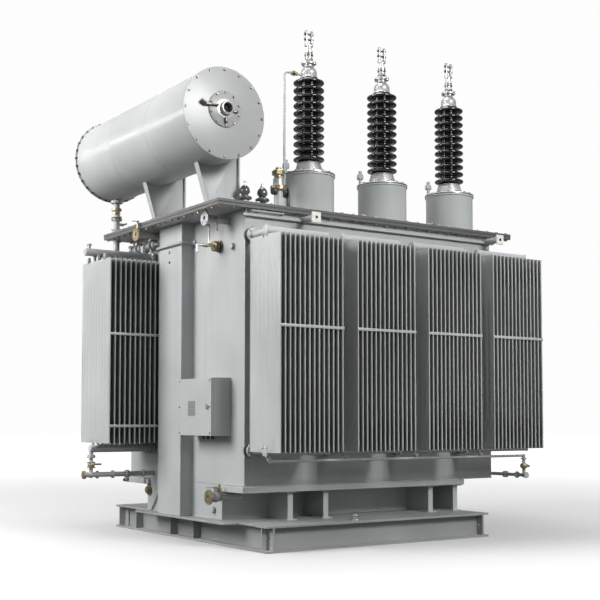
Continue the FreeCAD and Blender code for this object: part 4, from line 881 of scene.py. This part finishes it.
for k, (x, y) in enumerate(BUSHINGS, start=1):
    piece(f"porcelain_sheds_{k}", lathe(column, (x, y, SHED_LOW), sides=72), black_glaze,
          nodes=(f"hv_porcelain_{k}",), smooth=60)
    top = [lathe(head, (x, y, SHED_HIGH), sides=48)]
    lobes = lathe(disc(0.018, 0.136, 0.166), sides=16)
    angle = np.arange(4) * np.pi / 2 + 0.4
    top.append(copies(lobes, np.column_stack((x + 0.058 * np.cos(angle), y + 0.058 * np.sin(angle),
                                              np.full(4, SHED_HIGH)))))
    top.append(slab((x - 0.042, y - 0.020, SHED_HIGH + 0.316), (x + 0.042, y + 0.020, SHED_HIGH + 0.340),
                    0.005))
    for low, high in ((-0.038, -0.024), (0.024, 0.038)):
        top.append(slab((x + low, y - 0.017, SHED_HIGH + 0.334),
                        (x + high, y + 0.017, SHED_HIGH + 0.478), 0.004))
    piece(f"terminal_head_{k}", top, silver, nodes=(f"hv_terminal_{k}",), smooth=40)
    clamp = [peg(0.009, 0.104, 0.002, (x - 0.052, y, SHED_HIGH + z), RIGHT, 16) for z in CLAMPS]
    for z in CLAMPS:
        for way in (-1, 1):
            clamp.append(lathe(disc(0.015, 0, 0.010),
                               (x + way * 0.038, y, SHED_HIGH + z), (way, 0, 0), 6))
    clamp.append(lathe(disc(0.046, 0.172, 0.190), (x, y, SHED_HIGH), sides=6))
    clamp.append(lathe(disc(0.042, 0.226, 0.240), (x, y, SHED_HIGH), sides=24))
    piece(f"terminal_clamp_{k}", clamp, dark_zinc, smooth=30)

turret_bolts, turret_fittings, turret_seals = [], [], []
for x, y in BUSHINGS:
    turret_bolts.append(flange_bolts((x, y, TURRET_TOP + 0.014), UP, 0.232, 16, 0.012, 0.010))
    turret_bolts.append(flange_bolts((x, y, TURRET_TOP + 0.014), UP, 0.165, 8, 0.011, 0.010))
    turret_seals.append(lathe([(0.247, -0.003), (0.2555, -0.003), (0.2555, 0.003), (0.247, 0.003),
                               (0.247, -0.003)],
                              (x, y, TURRET_TOP), sides=72))
    turret_fittings.append(lathe([(0.244, 0.0), (0.252, 0.0), (0.248, 0.006), (0.244, 0.008)],
                                 (x, y, cover_high[2]),
                                 sides=72))
    turret_fittings.append(lathe([(0, 0), (0.022, 0), (0.022, 0.010), (0.015, 0.014), (0.015, 0.058),
                                  (0.032, 0.064), (0.035, 0.082), (0.030, 0.112), (0.018, 0.118),
                                  (0.018, 0.146),
                                  (0, 0.150)],
                                 (x - 0.190, y + 0.115, TURRET_TOP + 0.014), sides=20))
    for way in (-1, 1):
        side = x + way * 0.244
        turret_fittings.append(tube(bent([(side, y - 0.02, 3.050), (side + way * 0.028, y - 0.02, 3.050),
                                          (side + way * 0.028, y - 0.02, 3.150),
                                          (side, y - 0.02, 3.150)], 0.016),
                                    0.006, 10))
piece("turret_bolts", turret_bolts, dark_zinc, smooth=25)
piece("turret_seals", turret_seals, gasket_black)
piece("turret_fittings", turret_fittings, shade_paint)

# ---------------------------------------------------------------- small fittings on the cover
# Low-voltage and neutral bushings in dark grey porcelain, the spring relief valve in brass, the
# thin vent pipe to the first bushing's head and a drain cock beside it.
grey_glaze = glaze("grey_glaze", (0.085, 0.088, 0.090), (0.045, 0.047, 0.049), 0.16)
small = [(0, 0), (0.050, 0), (0.054, 0.005), (0.054, 0.026), (0.048, 0.034), (0.030, 0.040),
         (0.026, 0.052),
         (0.030, 0.062), (0.054, 0.070), (0.064, 0.078), (0.065, 0.088), (0.060, 0.096), (0.040, 0.104),
         (0.030, 0.112), (0.034, 0.122), (0.044, 0.130), (0.048, 0.142), (0.046, 0.160), (0.038, 0.180),
         (0.026, 0.194), (0.014, 0.200), (0, 0.201)]
stud = [(0, 0.198), (0.013, 0.198), (0.013, 0.232), (0.009, 0.238), (0, 0.238)]
low_voltage = [(0, 0), (0.088, 0), (0.088, 0.016), (0.062, 0.024), (0.054, 0.036), (0.054, 0.058),
               (0.076, 0.066),
               (0.090, 0.076), (0.092, 0.084), (0.086, 0.092), (0.060, 0.104), (0.050, 0.114),
               (0.050, 0.148),
               (0.070, 0.156), (0.084, 0.166), (0.086, 0.174), (0.080, 0.182), (0.056, 0.194),
               (0.044, 0.206),
               (0.044, 0.256), (0.030, 0.266), (0, 0.266)]
thick_stud = [(0, 0.262), (0.024, 0.262), (0.024, 0.366), (0.018, 0.372), (0, 0.372)]
porcelains, studs = [], []
for outline, top, spots in ((small, stud, [(-1.128, -0.905), (-0.943, -0.905)]),
                            (low_voltage, thick_stud,
                             [(x, 0.560) for x in (-0.300, 0.120, 0.540, 0.960)])):
    for spot in spots:
        porcelains.append(lathe(outline, (*spot, cover_high[2]), sides=40))
        studs.append(lathe(top, (*spot, cover_high[2]), sides=20))
        size, base = (0.020, 0.200) if outline is small else (0.040, 0.270)
        studs.append(lathe(disc(size, base, base + 0.014),
                           (*spot, cover_high[2]), sides=6))
piece("small_porcelains", porcelains, grey_glaze, nodes=("lv_bushings",), smooth=50)
piece("small_studs", studs, silver, smooth=30)

relief_at = (-0.690, -0.780, cover_high[2])
neck = [(0, 0), (0.076, 0), (0.076, 0.014), (0.048, 0.018), (0.042, 0.026), (0.042, 0.228), (0, 0.228)]
piece("relief_valve_neck", [lathe(neck, relief_at, sides=40),
                            flange_bolts((*relief_at[:2], relief_at[2] + 0.014), UP, 0.062, 6, 0.009,
                                         0.008)],
      tank_paint, smooth=30)
rings = [lathe([(0, 0.228), (0.072, 0.228), (0.075, 0.232), (0.075, 0.262), (0.070, 0.266), (0, 0.266)],
               relief_at,
               sides=36),
         lathe([(0, 0.366), (0.058, 0.366), (0.062, 0.372), (0.062, 0.404), (0.056, 0.410),
                (0.030, 0.412),
                (0.028, 0.436), (0.020, 0.440), (0, 0.440)], relief_at, sides=8),
         lathe(disc(0.046, 0.340, 0.352), relief_at, sides=6)]
piece("relief_valve_rings", rings, zinc_gold, nodes=("relief_valve",), smooth=30)
piece("relief_valve_body", lathe([(0, 0.262), (0.050, 0.266), (0.050, 0.330), (0.038, 0.338),
                                  (0.038, 0.372),
                                  (0, 0.372)], relief_at, sides=32), silver, smooth=30)
COCK = 3.232
cock = [peg(0.040, 0.050, 0.008, (-0.600, -0.700, COCK), RIGHT, 24),
        peg(0.052, 0.012, 0.003, (-0.560, -0.700, COCK), RIGHT, 24),
        peg(0.052, 0.012, 0.003, (-0.612, -0.700, COCK), RIGHT, 24),
        peg(0.026, 0.070, 0.006, (-0.575, -0.700, COCK), UP, 20),
        peg(0.034, 0.050, 0.006, (-0.790, -0.830, COCK - 0.030), RIGHT, 20),
        tube(bent([(-0.660, -0.760, COCK), (-0.600, -0.700, COCK), (-0.530, -0.700, COCK),
                   (-0.530, -0.700, 3.000)], 0.03), 0.018, 14)]
piece("relief_drain_cock", cock, dark_cast)
VENT_HIGH = 4.438
vent_x, vent_y = BUSHINGS[0][0] - 0.282, BUSHINGS[0][1]
vent = [tube(bent([(vent_x, vent_y, 3.000), (vent_x, vent_y, VENT_HIGH),
                   (BUSHINGS[0][0] - 0.080, vent_y, VENT_HIGH)], 0.035),
             0.011, 16), peg(0.026, 0.014, 0.003, (vent_x, vent_y, 3.000), sides=24)]
piece("vent_line", vent, tank_paint, nodes=("vent_pipe",))
union = [lathe([(0, 0), (0.020, 0), (0.022, 0.004), (0.022, 0.018), (0, 0.018)],
               (vent_x + 0.080, vent_y, VENT_HIGH),
               RIGHT, 6),
         lathe(disc(0.026, 0, 0.012), (vent_x + 0.104, vent_y, VENT_HIGH), RIGHT, 6),
         peg(0.018, 0.024, 0.003, (vent_x + 0.122, vent_y, VENT_HIGH), RIGHT, 20)]
piece("vent_union", union, zinc_gold, smooth=30)

# ---------------------------------------------------------------- valves and pipes on the end walls
# Small forged and cast valves with yellow-passivated flanges and levers, on painted pipe.
# The drain and throttle valve bodies take that grey with painted shade; their mouths are yellow zinc.
ground("drain_valve", 0.0015, shade_paint, other=zinc_gold, where=lambda spot: spot.x < -1.4415)
ground("filter_valve", 0.0015, tank_paint)
ground("throttle_valve", 0.0015, shade_paint, other=zinc_gold, where=lambda spot: spot.x < -1.5835)
# The tap's end near the wall takes that grey with painted shade.
ground("sampling_tap", 0.0010, silver, other=shaded_valve_paint,
       where=lambda spot: spot.x > -1.321)
ground("left_manifold", 0.0015, tank_paint)
ground("right_manifold", 0.0015, tank_paint)
for node, body in (("drain_valve_lever", "drain_lever"), ("filter_valve_lever", "filter_lever"),
                   ("throttle_valve_lever", "throttle_lever"), ("sampling_tap_lever", "tap_lever"),
                   ("left_manifold_lever", "left_drain_lever"),
                   ("right_manifold_lever", "right_drain_lever"),
                   ("feed_valve_lever", "feed_lever")):
    ground(node, 0.0015, zinc_gold, body)


def ring_plate(place, along, outside, bore, thick):
    """A turned ring that covers a flange's rim and leaves its bore open."""
    return lathe([(bore, 0), (outside, 0), (outside, thick), (bore, thick), (bore, 0)], place, along, 40)


TAP = (-0.686, 2.666)
rings = [ring_plate((-1.4600, -0.850, 0.440), RIGHT, 0.036, 0.022, 0.010)]
for radius, high, edge, place, along, sides in (
        (0.024, 0.040, 0.003, (-1.345, -0.850, 0.472), UP, 6),
        (0.012, 0.050, 0.003, (-1.345, -0.850, 0.500), UP, 16),
        (0.040, 0.012, 0.002, (-1.345, -0.850, 0.440), RIGHT, 36),
        (0.057, 0.005, 0.002, (-1.269, *TAP), RIGHT, 40),
        (0.049, 0.005, 0.002, (-1.295, *TAP), RIGHT, 40),
        (0.049, 0.005, 0.002, (-1.321, *TAP), RIGHT, 40),
        (0.036, 0.030, 0.003, (-1.917, end_y, 0.664), UP, 8),
        (0.042, 0.010, 0.002, (-1.917, end_y, 0.702), UP, 32),
        (0.042, 0.010, 0.002, (-1.917, end_y, 0.652), UP, 32),
        (0.030, 0.030, 0.006, (-1.552, end_y, 0.548), DOWN, 20),
        (0.040, 0.014, 0.004, (-1.999, end_y, 0.590), RIGHT, 24),
        (0.036, 0.030, 0.003, (1.716, -header_y, 0.648), UP, 8),
        (0.034, 0.020, 0.004, (-1.270, 0.690, 0.420), LEFT, 24),
        (0.050, 0.010, 0.003, (-1.262, 0.690, 0.420), LEFT, 32)):
    rings.append(peg(radius, high, edge, place, along, sides))
rings.append(flange_bolts((-1.321, *TAP), LEFT, 0.036, 6, 0.007, 0.006))
rings.append(lathe([(0, 0), (0.017, 0), (0.020, 0.02), (0.016, 0.05), (0, 0.05)], (-1.380, *TAP), LEFT,
                   24))
piece("valve_brass", rings, zinc_gold, smooth=30)

# ---------------------------------------------------------------- control box
# A folded sheet box with a lift-off door on pin hinges, corner screws, a knob latch and a blank
# plate with ruled lines. Inside are a rail and a row of terminal blocks.
ground("control_box", 0.003, tank_paint)
ground("control_box_door", 0.003, tank_paint, body="door")
bare_zinc = cast_metal("bare_zinc", (0.58, 0.58, 0.57), (0.36, 0.36, 0.36), 0.34)
repaint(bare_zinc, "door_latch")
stud_low, stud_high = span("earth_stud")
stud_x, stud_y = (stud_low + stud_high)[:2] / 2
foot = lathe([(0, 0), (0.036, 0), (0.036, 0.006), (0.031, 0.012), (0.024, 0.016), (0.014, 0.020),
              (0.011, 0.026),
              (0.011, 0.030), (0.021, 0.032), (0.024, 0.036), (0.024, 0.044),
              (0.019, 0.050), (0.010, 0.053),
              (0.010, 0.060), (0, 0.060)], (stud_x, stud_y, stud_low[2]), sides=36)
piece("earth_stud_turned", foot, bare_zinc, nodes=("earth_stud",), smooth=40)


def moulded(name, shade):
    mix = Finish(name)
    grain = mix.noise(500.0, 2.0)
    tone = mix.blend(mix.spread(mix.noise(30.0, 3.0), 0.35, 0.7), rgb(*shade),
                     rgb(*(part * 0.8 for part in shade)))
    return mix.coat(Base_Color=tone, Roughness=mix.spread(grain, 0.3, 0.7, 0.45, 0.6),
                    Normal=mix.relief(grain, 0.0002, 0.4))


repaint(moulded("terminal_plastic", (0.50, 0.49, 0.45)), "box_terminals")


def plate_metal(name):
    """A blank anodised plate, with fine lines ruled across it."""
    mix = Finish(name)
    lines = mix.bands(300.0).above(0.93)
    colour = mix.blend(lines, rgb(0.30, 0.31, 0.31), rgb(0.12, 0.12, 0.12))
    return mix.coat(Base_Color=colour, Metallic=0.4, Roughness=0.4)


repaint(plate_metal("plate_grey"), "rating_plate")
door_low, door_high = span("control_box_door")
screws = []
for y in (door_low[1] + 0.022, door_high[1] - 0.045):
    for z in (door_low[2] + 0.022, (door_low[2] + door_high[2]) / 2, door_high[2] - 0.022):
        screws.append(lathe([(0, 0), (0.0085, 0), (0.0085, 0.002), (0.006, 0.0045), (0, 0.005)],
                            (door_low[0], y, z), LEFT, 16))
piece("door_screws", screws, dark_zinc, body="door")
glands = [lathe([(0, 0), (0.018, 0), (0.018, 0.012), (0.014, 0.016), (0.014, 0.030), (0, 0.030)],
                (-1.330, y, 0.970), DOWN, 6) for y in (-0.70, -0.62, -0.54)]
piece("box_glands", glands, dark_cast, smooth=30)


# ---------------------------------------------------------------- core and windings
# Inside the tank: stacked silicon steel, enamelled copper and paper-wrapped coils and leads.
def banded(name, first, second, rate, metal=0.0, rough=0.5):
    """Layers seen edge on: thin bands along Z over the base colour, with fibre noise."""
    mix = Finish(name)
    band = mix.spread(mix.bands(rate), -1, 1)
    fibre = mix.noise(90.0, 3.0)
    colour = mix.blend(band * 0.6 + fibre * 0.4, rgb(*first), rgb(*second))
    return mix.coat(Base_Color=colour, Metallic=metal,
                    Roughness=mix.spread(fibre, 0.3, 0.7, rough, rough + 0.15),
                    Normal=mix.relief(band, 0.001, 0.5))


repaint(banded("core_steel", (0.20, 0.20, 0.21), (0.34, 0.34, 0.35), 900, 0.8, 0.4), "core")
repaint(banded("winding_copper", (0.42, 0.17, 0.08), (0.60, 0.28, 0.14), 500, 0.7, 0.35), "lv_windings")
repaint(banded("winding_paper", (0.40, 0.29, 0.16), (0.56, 0.43, 0.26), 300, 0.0, 0.7), "hv_windings",
        "hv_leads")


# ---------------------------------------------------------------- floor and light
# A pale seamless floor inside a white ring wall, a dim sky, and four soft lights: broad ones on
# the left, in front and overhead, and a narrow one behind the conservator.
def seamless(name):
    mix = Finish(name)
    tone = mix.blend(mix.noise(0.8, 2.0), rgb(0.50, 0.50, 0.50), rgb(0.52, 0.52, 0.52))
    away = mix.add("VectorMath", {0: mix.place}, out=1, operation="LENGTH")
    glow = mix.blend(mix.spread(away, 3.0, 16.0), rgb(0.15, 0.15, 0.15), rgb(0.90, 0.90, 0.90))
    return mix.coat(Base_Color=tone, Roughness=0.9, Specular_IOR_Level=0.0, Emission_Color=glow,
                    Emission_Strength=1.0)


def staged(name, points, faces, material):
    """A piece of the room that only the camera sees."""
    mesh = bpy.data.meshes.new(name)
    mesh.from_pydata(points, [], faces)
    item = bpy.data.objects.new(name, mesh)
    item.data.materials.append(material)
    item.visible_diffuse = False
    item.visible_glossy = False
    item.visible_shadow = False
    bpy.context.scene.collection.objects.link(item)


FLOOR_REACH, WALL_REACH, WALL_HIGH, WALL_SIDES = 90.0, 80.0, 60.0, 48
corners = [(x * FLOOR_REACH, y * FLOOR_REACH, 0) for x, y in ((-1, -1), (1, -1), (1, 1), (-1, 1))]
staged("floor", corners, [(0, 1, 2, 3)], seamless("floor_white"))
wall = Finish("white_wall")
white = wall.coat(Base_Color=rgb(0, 0, 0), Emission_Color=rgb(1, 1, 1), Emission_Strength=0.985,
                  Specular_IOR_Level=0.0, Roughness=1.0)
angle = np.arange(WALL_SIDES) * 2 * np.pi / WALL_SIDES
ring = np.column_stack((WALL_REACH * np.cos(angle), WALL_REACH * np.sin(angle), np.zeros(WALL_SIDES)))
rise = np.array((0.0, 0.0, WALL_HIGH))
quads = [(k, k + WALL_SIDES, (k + 1) % WALL_SIDES + WALL_SIDES, (k + 1) % WALL_SIDES)
         for k in range(WALL_SIDES)]
staged("wall", np.concatenate((ring - rise / 30, ring + rise)).tolist(), quads, white)

room = bpy.data.worlds.new("room")
room.use_nodes = True
sky = room.node_tree.nodes["Background"]
sky.inputs["Color"].default_value = rgb(1.0, 1.0, 1.0)
height = room.node_tree.nodes.new("ShaderNodeSeparateXYZ")
shade = room.node_tree.nodes.new("ShaderNodeMapRange")
place = room.node_tree.nodes.new("ShaderNodeTexCoord")
room.node_tree.links.new(place.outputs["Generated"], height.inputs[0])
room.node_tree.links.new(height.outputs["Z"], shade.inputs["Value"])
for key, value in (("From Min", -0.3), ("From Max", 0.2), ("To Min", 0.13), ("To Max", 0.42)):
    shade.inputs[key].default_value = value
room.node_tree.links.new(shade.outputs["Result"], sky.inputs["Strength"])
bpy.context.scene.world = room


def soft_light(name, place, target, size, watts):
    lamp = bpy.data.lights.new(name, "AREA")
    lamp.shape = "RECTANGLE"
    lamp.size, lamp.size_y = size
    lamp.energy = watts
    item = bpy.data.objects.new(name, lamp)
    item.location = place
    aim = np.array(target, float) - np.array(place, float)
    flat = math.hypot(aim[0], aim[1])
    item.rotation_euler = (math.atan2(flat, -aim[2]), 0, math.atan2(-aim[0], aim[1]))
    bpy.context.scene.collection.objects.link(item)


soft_light("left_bank", (-9.0, 1.5, 5.5), (-1.2, 0, 2.0), (5.0, 5.0), 1050)
soft_light("front_bank", (1.2, -11.0, 7.2), (0.3, -1.0, 2.6), (4.0, 3.0), 1080)
soft_light("top_bank", (-0.5, 0.5, 10.5), (0, 0, 2.5), (5.0, 4.0), 450)
soft_light("strip", (-6.5, 8.6, 5.6), (-1.4, 0.3, 3.7), (2.6, 0.35), 70)
bpy.context.scene.view_settings.view_transform = "Standard"
